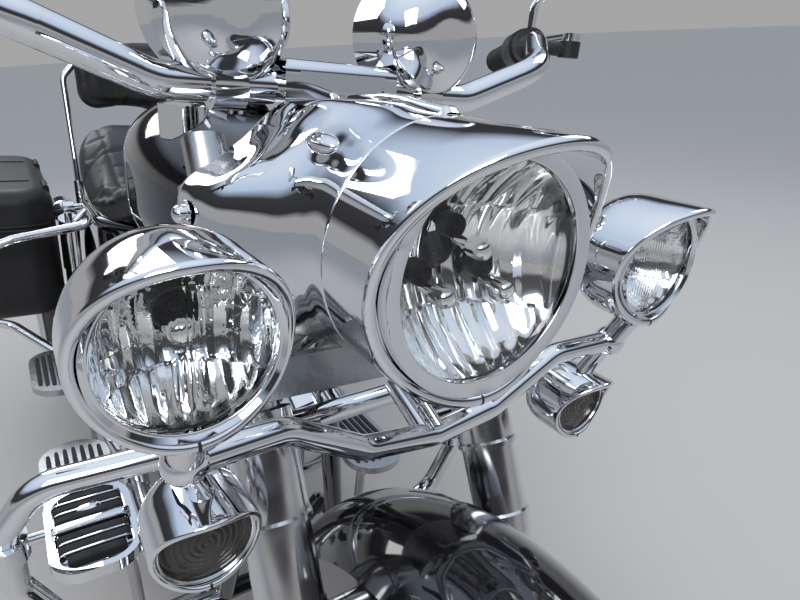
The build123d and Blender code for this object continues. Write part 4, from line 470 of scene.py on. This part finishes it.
# Nacelle strip: a narrow plated moulding down the middle of the hood, tapered to the rear and
# drawn down into the hood at both ends
STRIP_FRONT, STRIP_REAR = 151, 316
STRIP_HALF, STRIP_TAPER, STRIP_RISE, STRIP_SUNK = 9, 3.5, 7.5, 1.5
strip_y = np.linspace(STRIP_FRONT, STRIP_REAR, 60)[:, None]
strip_x = np.linspace(-1, 1, 25)[None, :]
strip_shape = eased(strip_y.ravel(), HOOD)
strip_top = (strip_shape[:, 1] + strip_shape[:, 2])[:, None]
strip_half = STRIP_HALF - STRIP_TAPER * (strip_y - STRIP_FRONT) / (STRIP_REAR - STRIP_FRONT)
to_end = np.minimum(strip_y - (STRIP_FRONT - 1), STRIP_REAR + 1 - strip_y)
strip_ends = np.clip(to_end / 6, 0, 1) ** 0.5
strip_z = strip_top - STRIP_SUNK - 0.006 * (strip_half * strip_x) ** 2
strip_z = strip_z + STRIP_RISE * (1 - strip_x**4) * strip_ends
strip_points = np.stack([strip_half * strip_x + 0 * strip_y, strip_y + 0 * strip_x, strip_z], 2)
strip = mesh_object("hood_strip", [(strip_points, False, False)], chrome, sharp=60)
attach(strip, "steering")


# Hood fittings: a bare oval cap on the hood's right shoulder, a domed nut with its washer on
# each wing, and a black band of painted shade where each lamp's rolled rim is split and clamped at its
# foot
def oval_grid(centre, halves, rows=24, cols=48):
    """An ellipsoid from its three half sizes."""
    up = np.linspace(-math.pi / 2, math.pi / 2, rows)[:, None]
    turn = np.linspace(0, 2 * math.pi, cols + 1)[None, :-1]
    return np.stack([centre[0] + halves[0] * np.cos(up) * np.cos(turn),
                     centre[1] + halves[1] * np.cos(up) * np.sin(turn),
                     centre[2] + halves[2] * np.sin(up) + 0 * turn], 2), False, True


def nut_grid(centre, way, size):
    """A domed nut on a washer and a spacer, spun about the X axis."""
    profile = [(-6, 0.7), (0, 0.7), (0, 1.5), (2, 1.5), (2, 1.05), (6, 1.05)]
    dome = np.radians(np.linspace(10, 90, 8))
    profile += [(6 + size * math.sin(t) * 0.9, 1.05 * math.cos(t)) for t in dome]
    rise, radius = np.array(profile).T[:, :, None]
    turn = np.linspace(0, 2 * math.pi, 49)[None, :-1]
    return np.stack([centre[0] + way * rise + 0 * turn, centre[1] + size * radius * np.cos(turn),
                     centre[2] + size * radius * np.sin(turn)], 2), False, True


CAP_AT, CAP_HALVES = (-77, 214, 977), (12, 24, 9)
NUT_X, NUT_Y, NUT_Z, NUT_SIZE = 163, 302, 905, 8
fitting_grids = [oval_grid(CAP_AT, CAP_HALVES)]
fitting_grids += [nut_grid((side * NUT_X, NUT_Y, NUT_Z), side, NUT_SIZE) for side in (-1, 1)]
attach(mesh_object("hood_fittings", fitting_grids, chrome), "steering")
# Split rims: a thin band of the moulded black finish over each rim's bead at its foot is painted shade,
# standing in for the dark gap where the rim is split and clamped
SLIT_STEPS, SLIT_RISE = 24, 0.45
swell = SLIT_RISE * np.sin(np.linspace(0, math.pi, SLIT_STEPS))
settle = SLIT_RISE * np.cos(np.linspace(0, math.pi, SLIT_STEPS))
slit_shade_grids = []
for lamp, side in ((HEADLAMP, 0), (SPOT, -1), (SPOT, 1), (SIGNAL, -1), (SIGNAL, 1)):
    cx, cy, cz = lamp_at(lamp, side)
    bead, reach = lamp["bead"], lamp["radius"] - lamp["bead"]
    foot = rim_line(lamp, np.array([-lamp["radius"]]))[0]
    hoop_y, hoop_z = np.array(arc((bead + foot, reach), bead - 0.2, 10, 150, SLIT_STEPS)).T
    middle_x = 0 * hoop_y + cx
    lines = [np.stack([middle_x + x, cy + hoop_y, cz - hoop_z], 1) for x in (-1, 1)]
    rims = [np.stack([middle_x + x, cy + hoop_y - swell, cz - hoop_z - settle], 1) for x in (1, -1)]
    slit_shade_grids.append((np.stack(lines + rims), True, False))
slit_shades = mesh_object("rim_slits_painted_shade", slit_shade_grids, moulded, sharp=60)
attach(slit_shades, "steering")


# Finishes of the CAD's own pieces: lacquered black bodywork, polished and cast alloy, black
# engine coat, machined steel, rubber and leather, each with wandering gloss and a fine surface
def dress(finish, *nodes):
    """Gives every slot of some CAD nodes one finish."""
    for node in nodes:
        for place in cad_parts[node].material_slots:
            place.material = finish


lacquer = smeared("black lacquer", 5, 0.05, 0.16, Base_Color=(0.006, 0.006, 0.008, 1), Coat_Weight=1.0,
                  Coat_Roughness=0.02, Specular_IOR_Level=0.6)
polished = smeared(
    "polished alloy", 16, 0.10, 0.24, bump=0.03, Base_Color=(0.70, 0.70, 0.71, 1), Metallic=1.0)
cast = smeared(
    "cast alloy", 60, 0.28, 0.46, bump=0.12, Base_Color=(0.50, 0.50, 0.51, 1), Metallic=1.0)
black_coat = smeared(
    "black engine coat", 90, 0.34, 0.52, bump=0.16, Base_Color=(0.02, 0.02, 0.022, 1))
machined = smeared(
    "machined steel", 30, 0.20, 0.36, bump=0.04, Base_Color=(0.52, 0.52, 0.53, 1), Metallic=1.0)
rubber = smeared("black rubber", 70, 0.62, 0.82, bump=0.2, Base_Color=(0.016, 0.016, 0.017, 1))
mirror_finish = smeared("silvered mirror", 4, 0.0, 0.025, Base_Color=(0.92, 0.92, 0.93, 1), Metallic=1.0)

# Hide: leather's cells from a Voronoi pattern with softer folds of noise over them
hide, hide_in, hide_out = node_group(
    "hide", {"Scale": 320.0, "Folds": 18.0}, {"Height": "NodeSocketFloat", "Shade": "NodeSocketFloat"})
hide_where = hide.nodes.new("ShaderNodeTexCoord")
cells = hide.nodes.new("ShaderNodeTexVoronoi")
folds = hide.nodes.new("ShaderNodeTexNoise")
folds.inputs["Detail"].default_value = 5
hide_sum = hide.nodes.new("ShaderNodeMath")
hide_sum.operation = "MULTIPLY_ADD"
hide_sum.inputs[1].default_value = 0.35
hide.links.new(hide_where.outputs["Object"], cells.inputs["Vector"])
hide.links.new(hide_where.outputs["Object"], folds.inputs["Vector"])
hide.links.new(hide_in.outputs["Scale"], cells.inputs["Scale"])
hide.links.new(hide_in.outputs["Folds"], folds.inputs["Scale"])
hide.links.new(cells.outputs["Distance"], hide_sum.inputs[0])
hide.links.new(folds.outputs["Fac"], hide_sum.inputs[2])
hide.links.new(hide_sum.outputs["Value"], hide_out.inputs["Height"])
hide.links.new(folds.outputs["Fac"], hide_out.inputs["Shade"])


def leathered(name, dark, worn, scale=320):
    """Black leather: pebbled bump, colour and gloss drifting between two tones along its folds."""
    made, shader = material(name, Specular_IOR_Level=0.45)
    node = use_group(made, hide, Scale=scale)
    links, nodes = made.node_tree.links, made.node_tree.nodes
    tone = nodes.new("ShaderNodeMix")
    tone.data_type = "RGBA"
    tone.inputs["A"].default_value, tone.inputs["B"].default_value = (*dark, 1), (*worn, 1)
    gloss = nodes.new("ShaderNodeMapRange")
    gloss.inputs["To Min"].default_value, gloss.inputs["To Max"].default_value = 0.30, 0.62
    height = nodes.new("ShaderNodeBump")
    height.inputs["Strength"].default_value, height.inputs["Distance"].default_value = 0.35, 0.0012
    links.new(node.outputs["Shade"], tone.inputs["Factor"])
    links.new(tone.outputs["Result"], shader.inputs["Base Color"])
    links.new(node.outputs["Shade"], gloss.inputs["Value"])
    links.new(gloss.outputs["Result"], shader.inputs["Roughness"])
    links.new(node.outputs["Height"], height.inputs["Height"])
    links.new(height.outputs["Normal"], shader.inputs["Normal"])
    return made


leather = leathered("black leather", (0.008, 0.008, 0.009), (0.03, 0.029, 0.028))
dress(lacquer, "front_fender", "rear_fender", "fuel_tank", "frame_tubes", "swingarm", "side_covers",
      "plate_bracket", "side_stand")
dress(chrome, "lamp_bar", "handlebar", "bar_clamps", "speaker_pods", "mirrors", "tank_console",
      "guard_bars", "rocker_boxes", "pushrod_tubes", "engine_covers", "air_cleaner", "exhaust",
      "backrest_bar", "shocks", "tail_lamps", "highway_pegs")
dress(polished, "fork_cans", "fork_sliders", "levers", "front_rim", "rear_rim")
dress(cast, "engine_cases", "rear_pulley", "floorboards")
dress(black_coat, "cylinders", "cylinder_heads", "front_calipers", "rear_caliper", "control_housings")
dress(machined, "fork_yokes", "front_axle", "rear_axle", "front_brake_discs", "rear_brake_disc")
dress(rubber, "drive_belt")
dress(mirror_finish, "mirror_glass")
dress(leather, "saddlebags", "lid_left", "lid_right")

# Tyres: moulded rubber, a crown arc between round walls, with chevron grooves cut slantwise from
# a middle band out to the shoulders and dust lying in the tread
tyre_rubber, tyre_shader = material("tyre rubber", Specular_IOR_Level=0.35)
tyre_wander = use_group(tyre_rubber, smears, Scale=24, Low=0.55, High=0.85)
tyre_tone = tyre_rubber.node_tree.nodes.new("ShaderNodeMix")
tyre_tone.data_type = "RGBA"
tyre_tone.inputs["A"].default_value = (0.011, 0.011, 0.012, 1)
tyre_tone.inputs["B"].default_value = (0.05, 0.046, 0.04, 1)
tyre_bump = tyre_rubber.node_tree.nodes.new("ShaderNodeBump")
tyre_bump.inputs["Strength"].default_value = 0.2
tyre_bump.inputs["Distance"].default_value = 0.002
for start, end in ((tyre_wander.outputs["Roughness"], tyre_shader.inputs["Roughness"]),
                   (tyre_wander.outputs["Height"], tyre_tone.inputs["Factor"]),
                   (tyre_tone.outputs["Result"], tyre_shader.inputs["Base Color"]),
                   (tyre_wander.outputs["Height"], tyre_bump.inputs["Height"]),
                   (tyre_bump.outputs["Normal"], tyre_shader.inputs["Normal"])):
    tyre_rubber.node_tree.links.new(start, end)
WHEELBASE = 1625.0
WHEEL_RADIUS = 320.0
GROOVE_DEPTH = 4.5
# Tyre wall table: half breadth and drop from the crown, as shares of the width
TYRE_WALL = [(0.5, 0.4), (0.42, 0.2), (0.30, 0.0908), (0.15, 0.0212)]


def tyre_grid(axle_y, width, bead, rim_half, pitches):
    """A tyre's section, read from its arcs, spun about the axle. A groove sinks the crown where
    the turn, sheared by the sideways place, comes round to the middle of each pitch."""
    left = [(-share * width, WHEEL_RADIUS - drop * width) for share, drop in TYRE_WALL]
    keys = [(-rim_half, bead + 10.3)] + left + [(0, WHEEL_RADIUS)]
    keys += [(-x, radius) for x, radius in left[::-1]] + [(rim_half, bead + 10.3)]
    table = [(number, *key) for number, key in enumerate(keys)]
    section = eased(np.linspace(0, len(keys) - 1, 68), table)
    section = np.concatenate([section, [[rim_half, bead], [-rim_half, bead]]])
    turn = np.linspace(0, 2 * math.pi, 541)[None, :-1]
    x, radius = section[:, :1], section[:, 1:]
    away = abs(x) / width
    phase = (turn * pitches / (2 * math.pi) + 1.5 * away + 0.5 * (x > 0)) % 1
    slant = np.clip(1.6 - abs(phase - 0.5) / 0.055, 0, 1) * ((away > 0.07) & (away < 0.40))
    ring = np.clip(1.8 - abs(away - 0.055) * width / 1.8, 0, 1) * (radius > bead + 40)
    radius = radius - GROOVE_DEPTH * np.maximum(slant, ring + 0 * turn)
    y, z = axle_y + radius * np.sin(turn), WHEEL_RADIUS + radius * np.cos(turn)
    return np.stack([x + 0 * turn, y, z], 2), True, True


# Tyre table: piece, axle's y, width, bead radius, half rim width, chevrons round, CAD node
for name, place, width, bead, rim_half, pitches, node in (
        ("front_tread", 0.0, 130.0, 216.0, 48.0, 36, "front_tyre"),
        ("rear_tread", WHEELBASE, 180.0, 203.0, 66.0, 32, "rear_tyre")):
    tread = mesh_object(name, [tyre_grid(place, width, bead, rim_half, pitches)], tyre_rubber, sharp=35)
    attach(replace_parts(tread, node), node.replace("tyre", "wheel"))

# Grips: moulded rubber sleeves pushed on the bar's ends, ribbed round, with a plain collar at
# each end of the ribs
GRIP_OUTER, GRIP_INNER = np.array([455.0, 604.0, 1072.0]), np.array([350.0, 416.0, 1092.0])
GRIP_LENGTH = 125.0
GRIP_RADIUS, GRIP_RIB, GRIP_PITCH = 18.2, 0.9, 6.8


def line_grid(start, end, profile, steps=48):
    """A profile of (distance, radius) spun about the line from one point to another."""
    way = (end - start) / np.linalg.norm(end - start)
    side = np.cross(way, [0, 0, 1])
    side /= np.linalg.norm(side)
    above = np.cross(side, way)
    turn = np.linspace(0, 2 * math.pi, steps + 1)[:-1]
    reach, radius = np.array(profile, float).T[:, :, None, None]
    ring = np.outer(np.cos(turn), side) + np.outer(np.sin(turn), above)
    return start + way * reach + radius * ring


ribbed = np.linspace(8, GRIP_LENGTH - 8, 110)
ribs = GRIP_RADIUS + GRIP_RIB * np.abs(np.sin((ribbed - ribbed[0]) * math.pi / GRIP_PITCH))
grip_profile = [(-1, 16.2), (-1, 17.5), (1, 19.4), (5, 19.4), (6, 18.4)]
grip_profile += list(zip(ribbed, ribs))
grip_profile += [(GRIP_LENGTH - 6, 18.4), (GRIP_LENGTH - 5, 20.5)]
grip_profile += [(GRIP_LENGTH, 20.5), (GRIP_LENGTH, 16.2)]
grips = mesh_object("grip_rubbers", [
    (line_grid(GRIP_OUTER * [side, 1, 1], GRIP_INNER * [side, 1, 1], grip_profile), True, True)
    for side in (1, -1)], rubber, sharp=35)
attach(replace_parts(grips, "grips"), "steering")


# Seat and backrest pad: leather over foam. Each CAD solid is drawn in, cut to even cells and
# blown up as cloth under air pressure; the sewn channels are pressed in afterwards
CUSHION_CELL = 0.006
AIR_PRESSURE = 4.0
AIR_FRAMES = 20


def unplaced(points):
    """Leaned metres back to upright millimetres."""
    return (np.asarray(points) - hub_centre) * 1000 @ TURN + HUB


def corners_of(mesh):
    """A mesh's points as an array of rows."""
    flat = np.empty(len(mesh.vertices) * 3)
    mesh.vertices.foreach_get("co", flat)
    return flat.reshape(-1, 3)


def evaluated_mesh(piece):
    """A new mesh of a piece with its modifiers applied."""
    return bpy.data.meshes.new_from_object(piece.evaluated_get(bpy.context.evaluated_depsgraph_get()))


def cushion(name, node, finish, drawn_in, swell, seams):
    """A cushion from a CAD solid: moved in along its normals, remeshed, swelled by cloth
    pressure with each point's way limited to the swell, and pressed in by the seams' depth."""
    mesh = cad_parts[node].data.copy()
    work = bmesh.new()
    work.from_mesh(mesh)
    bmesh.ops.remove_doubles(work, verts=work.verts, dist=1e-5)
    bmesh.ops.recalc_face_normals(work, faces=work.faces)
    work.to_mesh(mesh)
    work.free()
    inward = np.array([v.vector for v in mesh.vertex_normals])
    mesh.vertices.foreach_set("co", (corners_of(mesh) - inward * drawn_in).ravel())
    piece = bpy.data.objects.new(name, mesh)
    bpy.context.scene.collection.objects.link(piece)
    cells = piece.modifiers.new("cells", "REMESH")
    cells.mode, cells.voxel_size = "VOXEL", CUSHION_CELL
    bpy.context.view_layer.update()
    even = evaluated_mesh(piece)
    piece.modifiers.clear()
    piece.data = even
    points = corners_of(even)
    air = piece.modifiers.new("air", "CLOTH").settings
    air.use_pressure, air.uniform_pressure_force = True, AIR_PRESSURE
    air.effector_weights.gravity = 0
    for step in range(1, AIR_FRAMES + 1):
        bpy.context.scene.frame_set(step)
    way = corners_of(evaluated_mesh(piece)) - points
    length = np.linalg.norm(way, axis=1, keepdims=True)
    points = points + way * np.minimum(1, swell / np.maximum(length, 1e-9))
    piece.modifiers.clear()
    bpy.context.scene.frame_set(1)
    even.vertices.foreach_set("co", points.ravel())
    even.update()
    outward = np.array([v.vector for v in even.vertex_normals])
    points = points - outward * (seams(unplaced(points), outward @ TURN) / 1000)[:, None]
    even.vertices.foreach_set("co", points.ravel())
    even.polygons.foreach_set("use_smooth", [True] * len(even.polygons))
    even.materials.clear()
    even.materials.append(finish)
    even.update()
    finer = piece.modifiers.new("finer", "SUBSURF")
    finer.levels = finer.render_levels = 1
    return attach(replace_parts(piece, node), "frame")


SEAT_STEP_Y = 1188
SEAT_SIDE_X = 104
RIDER_FRONT, RIDER_REAR, RIDER_PITCH = 1010, 1146, 34
PAD_HEIGHT = 974
PAD_ROUND = 40


def seat_seams(points, outward):
    """Millimetres pressed in on top: a cross seam at the step, channels over the rider's place
    and one long seam a little in from each side."""
    x, y = points[:, 0], points[:, 1]
    cross = 7 * np.exp(-((y - SEAT_STEP_Y + 0.0012 * x**2) / 5) ** 2)
    side = 4 * np.exp(-((abs(x) - SEAT_SIDE_X) / 4) ** 2) * (y > 985) * (y < 1400)
    rider = (abs(x) < 100) * (y > RIDER_FRONT) * (y < RIDER_REAR)
    ribs = 3.5 * np.exp(-((((y - RIDER_FRONT) % RIDER_PITCH) - RIDER_PITCH / 2) / 4) ** 2) * rider
    return np.maximum.reduce([cross, side, ribs]) * np.clip(outward[:, 2] * 2, 0, 1)


def pad_seams(points, outward):
    """Millimetres pressed in on the faces: a border channel and two upright ones."""
    x, z = points[:, 0], points[:, 2] - PAD_HEIGHT
    edge = np.maximum(abs(x) - 52, 0) ** 4 + np.maximum(abs(z) - 26, 0) ** 4
    border = 4 * np.exp(-((edge**0.25 - PAD_ROUND) / 4) ** 2)
    upright = 3 * np.exp(-((abs(x) - 30) / 4) ** 2) * (abs(z) < 60)
    return np.maximum(border, upright) * np.clip(abs(outward[:, 1]) * 2 - 0.6, 0, 1)


cushion("seat_cushion", "seat", leather, 0.008, 0.014, seat_seams)
cushion("backrest_cushion", "backrest_pad", leather, 0.007, 0.012, pad_seams)

# Saddlebag trim: a leather bead each side of the lid's line, and two buckled straps over each
# lid, riveted to the bag below
BAG_X, BAG_Y, BAG_HALF_X, BAG_HALF_Y, BAG_CORNER = 311.0, 1691.0, 107.0, 299.0, 72.0
BAG_TOP, BAG_EDGE, BAG_SPLIT = 705.0, 40.0, 617.0
STRAP_INNER, STRAP_FOOT, STRAP_APART, STRAP_HALF, STRAP_STAND = 246, 478.0, 150, 14, 1.6
BEAD_HALF, BEAD_OUT = 3.0, 0.8
BUCKLE_Z, BUCKLE_OUT = 560, 2.6


def swept(path, across, half_across, half_out, power=2.0, steps=16, closed=False):
    """A rounded section carried along a path. One axis of the section is the given direction
    and the other stands square to it and to the path; open ends draw in to a point."""
    path = np.asarray(path, float)
    if closed:
        way = np.roll(path, -1, 0) - np.roll(path, 1, 0)
    else:
        way = np.gradient(path, axis=0)
    way /= np.linalg.norm(way, axis=1, keepdims=True)
    out = np.cross(way, across)
    out /= np.linalg.norm(out, axis=1, keepdims=True)
    c, s = squared(np.linspace(0, 2 * math.pi, steps + 1)[:-1], power)
    ring = half_across * c[None, :, None] * np.asarray(across, float)
    ring = ring + half_out * s[None, :, None] * out[:, None, :]
    size = np.ones(len(path))
    if not closed:
        path = path[[0, *range(len(path)), -1]]
        ring = ring[[0, *range(len(ring)), -1]]
        size = np.r_[0, size, 0]
    return path[:, None, :] + ring * size[:, None, None], closed, True


def plan_outline(half_x, half_y, corner, steps=20):
    """A rounded rectangle's points, its four corner arcs one after another."""
    turn = np.radians(np.linspace(0, 90, steps))
    points = []
    for quarter, (sx, sy) in enumerate(((1, 1), (-1, 1), (-1, -1), (1, -1))):
        angle = turn + quarter * math.pi / 2
        points.append(np.stack([sx * (half_x - corner) + corner * np.cos(angle),
                                sy * (half_y - corner) + corner * np.sin(angle)], 1))
    return np.concatenate(points)


def filled(path, spacing):
    """A path with even steps put between its points."""
    run = np.r_[0, np.cumsum(np.linalg.norm(np.diff(path, axis=0), axis=1))]
    at = np.linspace(0, run[-1], int(run[-1] / spacing) + 2)
    return np.stack([np.interp(at, run, path[:, axis]) for axis in range(path.shape[1])], 1)


# The bead leaves the bag's inner side free for the hinges: the outline is rolled round until it
# starts there, and what lies further in is cut off
around = plan_outline(BAG_HALF_X + BEAD_OUT, BAG_HALF_Y + BEAD_OUT, BAG_CORNER + BEAD_OUT)
start = int(np.argmin(abs(around[:, 0] + 94) + (around[:, 1] < 0) * 900))
around = np.roll(around, -start, 0)
around = around[around[:, 0] > -95][::-1]
buckle_turn = plan_outline(17, 12, 4, 6)
strap_bend = np.radians(np.linspace(90, 0, 12))
corner_x, corner_z = BAG_X + BAG_HALF_X - BAG_EDGE, BAG_TOP - BAG_EDGE
reach = BAG_EDGE + STRAP_STAND
face_x = corner_x + reach
bead = filled(np.stack([BAG_X + around[:, 0], BAG_Y + around[:, 1], 0 * around[:, 0]], 1), 9)
for side, lid in ((1, "lid_left"), (-1, "lid_right")):
    flip = np.array([side, 1, 1])
    lid_grids, bag_grids = [
        [swept((bead + [0, 0, height]) * flip, (0, 0, 1), BEAD_HALF, BEAD_HALF, steps=10)]
        for height in (BAG_SPLIT + 4.5, BAG_SPLIT - 5)]
    buckle_grids = []
    for strap_y in (BAG_Y - STRAP_APART, BAG_Y + STRAP_APART):
        over = [(STRAP_INNER, BAG_TOP + STRAP_STAND)]
        over += [(corner_x + reach * math.cos(t), corner_z + reach * math.sin(t)) for t in strap_bend]
        over += [(face_x, BAG_SPLIT + 2)]
        over = filled(np.array([(x, strap_y, z) for x, z in over]), 5)
        down = filled(np.array([(face_x, strap_y, BAG_SPLIT - 2), (face_x, strap_y, STRAP_FOOT)]), 6)
        lid_grids.append(swept(over * flip, (0, 1, 0), STRAP_HALF, 1.8, 5.0))
        bag_grids.append(swept(down * flip, (0, 1, 0), STRAP_HALF, 1.8, 5.0))
        ring = np.stack([0 * buckle_turn[:, 0] + face_x + BUCKLE_OUT, strap_y + buckle_turn[:, 0],
                         BUCKLE_Z + buckle_turn[:, 1]], 1)
        buckle_grids.append(swept(ring * flip, (1, 0, 0), 1.8, 1.8, steps=10, closed=True))
        tongue = [(face_x + 3.0, strap_y, BUCKLE_Z - 12.0), (face_x + 4.2, strap_y, BUCKLE_Z + 14.0)]
        buckle_grids.append(swept(filled(np.array(tongue), 4) * flip, (0, 1, 0), 1.6, 1.6, steps=8))
    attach(mesh_object(f"{lid}_straps", lid_grids, leather), lid)
    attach(mesh_object(f"{lid}_bag_straps", bag_grids, leather), "frame")
    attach(mesh_object(f"{lid}_buckles", buckle_grids, chrome), "frame")


# Highway pegs and floorboards: black rubber bars standing in their chromed and cast frames, and
# across each peg a plated bridge with a bare oval in its middle
def block_grid(centre, halves, power=6.0, rows=11, cols=32, tilt=0.0):
    """A rounded block: a ball with its sines and cosines drawn out towards a box, turned by a
    tilt about the X axis."""
    up_c, up_s = squared(np.linspace(-math.pi / 2, math.pi / 2, rows)[:, None], power)
    turn_c, turn_s = squared(np.linspace(0, 2 * math.pi, cols + 1)[None, :-1], power)
    x, y, z = halves[0] * up_c * turn_c, halves[1] * up_c * turn_s, halves[2] * (up_s + 0 * turn_c)
    c, s = math.cos(tilt), math.sin(tilt)
    points = np.stack([centre[0] + x, centre[1] + c * y - s * z, centre[2] + s * y + c * z], 2)
    return points, False, True


PEG_X, PEG_Y, PEG_Z, PEG_RIB_GAP, PEG_HALF = 264.0, 417.4, 513.0, 120 / 7, 37.5
# Board table: front, rear, inner edge, outer edge, top
BOARDS = [(555, 915, 200, 318, 304), (980, 1172, 206, 310, 388)]
rib_grids, bridge_grids = [], []
for side in (-1, 1):
    for rib in (-3, -2, -1, 1, 2, 3):
        at = (side * PEG_X, PEG_Y + rib * PEG_RIB_GAP, PEG_Z - 4)
        rib_grids.append(block_grid(at, (30 if abs(rib) == 3 else PEG_HALF, 5.8, 6.5)))
    for line in (-2.5, -1.5, 1.5, 2.5):
        at = (side * PEG_X, PEG_Y + line * PEG_RIB_GAP, PEG_Z - 4)
        bridge_grids.append(block_grid(at, (PEG_HALF, 1.7, 6.8)))
    bridge_grids.append(block_grid((side * PEG_X, PEG_Y - 1, PEG_Z - 2), (42, 7, 7)))
    at = (side * PEG_X, PEG_Y + 1.5 * PEG_RIB_GAP, PEG_Z + 0.5)
    bridge_grids.append(block_grid(at, (14, 8, 3.2), power=2.3))
    for front, rear, inner, outer, top in BOARDS:
        # The outer lanes are shorter, because the board's ends are round
        for lane in np.linspace(inner + 16, outer - 16, 7):
            cut = 22 + 20 * abs((lane - (inner + outer) / 2) / (outer - inner)) ** 2 * 4
            at = (side * lane, (front + rear) / 2, top + 0.5)
            rib_grids.append(block_grid(at, (4.2, (rear - front) / 2 - cut, 3.2)))
pads = mesh_object("peg_and_board_rubbers", rib_grids, rubber)
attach(pads, "frame")
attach(mesh_object("peg_bridges", bridge_grids, chrome), "frame")


# Bolts: plated six-sided heads on low washers in the primary cover, the cam cover and the air
# cleaner, set in rings from a table
def bolt_grid(centre, way, size):
    """A hexagon head: its radius is the flat's distance over the cosine of the turn from the
    nearest flat's middle, under a low washer face, standing along the X axis."""
    turn = np.linspace(0, 2 * math.pi, 25)[:-1]
    hexagon = math.cos(math.pi / 6) / np.cos((turn % (math.pi / 3)) - math.pi / 6)
    # Rise, radius and whether the row is six-sided
    rows = [(-1.5, 1.25, 0), (0.8, 1.25, 0), (1.0, 1.1, 0), (1.0, 1.0, 1), (4.2, 1.0, 1),
            (5.0, 0.88, 1), (5.0, 0.0, 1)]
    rise, radius, six = np.array(rows, float).T[:, :, None]
    radius = size * radius * (1 + six * (hexagon - 1))
    return np.stack([centre[0] + way * rise + 0 * radius, centre[1] + radius * np.cos(turn),
                     centre[2] + radius * np.sin(turn)], 2), False, True


# Bolt table: the ring's middle, its radius, first and last turn in degrees, bolts, way out, size
BOLT_RINGS = [((175.5, 745, 318), 84, 110, 250, 4, 1, 6), ((175.5, 992, 318), 94, -70, 70, 4, 1, 6),
              ((-125.6, 759, 310), 33, 30, 318, 5, -1, 4.5), ((-165.4, 745, 620), 0, 0, 0, 1, -1, 9)]
bolt_grids = []
for (x, y, z), ring, first, last, count, way, size in BOLT_RINGS:
    for spot in np.radians(np.linspace(first, last, count)):
        centre = (x, y + ring * math.cos(spot), z + ring * math.sin(spot))
        bolt_grids.append(bolt_grid(centre, way, size))
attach(mesh_object("cover_bolts", bolt_grids, chrome, sharp=30), "frame")

# Tail: a red moulded lens in the lamp, smoked ones in the rear signals, all with rings, and a
# bare painted plate lying on its bracket
TAIL_AT, TAIL_RADIUS = (0, 1967, 572), 37
REAR_SIGNAL_X, REAR_SIGNAL_Y, REAR_SIGNAL_Z, REAR_SIGNAL_RADIUS = 152, 1990.8, 520, 32.6
PLATE_AT, PLATE_HALVES, PLATE_TILT = (0, 1998, 420), (87, 1.6, 49.5), math.radians(-8)
red_lens = smeared("red lens", 18, 0.04, 0.10, Base_Color=(0.42, 0.012, 0.012, 1),
                   Transmission_Weight=0.35, IOR=1.45)
tail_lens = mesh_object("tail_lens", [
    pane_grid(TAIL_AT, TAIL_RADIUS, 9, rings=6, wide=1.2, turn_round=-1)], red_lens, sharp=25)
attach(tail_lens, "frame")
rear_lenses = mesh_object("rear_signal_panes", [
    pane_grid((side * REAR_SIGNAL_X, REAR_SIGNAL_Y, REAR_SIGNAL_Z), REAR_SIGNAL_RADIUS, 5,
              rings=6, wide=1.2, turn_round=-1) for side in (-1, 1)], smoked, sharp=25)
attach(rear_lenses, "frame")
plate_paint = smeared("plate paint", 30, 0.3, 0.5, bump=0.05, Base_Color=(0.55, 0.55, 0.53, 1))
plate = mesh_object("bare_plate", [
    block_grid(PLATE_AT, PLATE_HALVES, power=14, cols=48, tilt=PLATE_TILT)], plate_paint)
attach(plate, "frame")
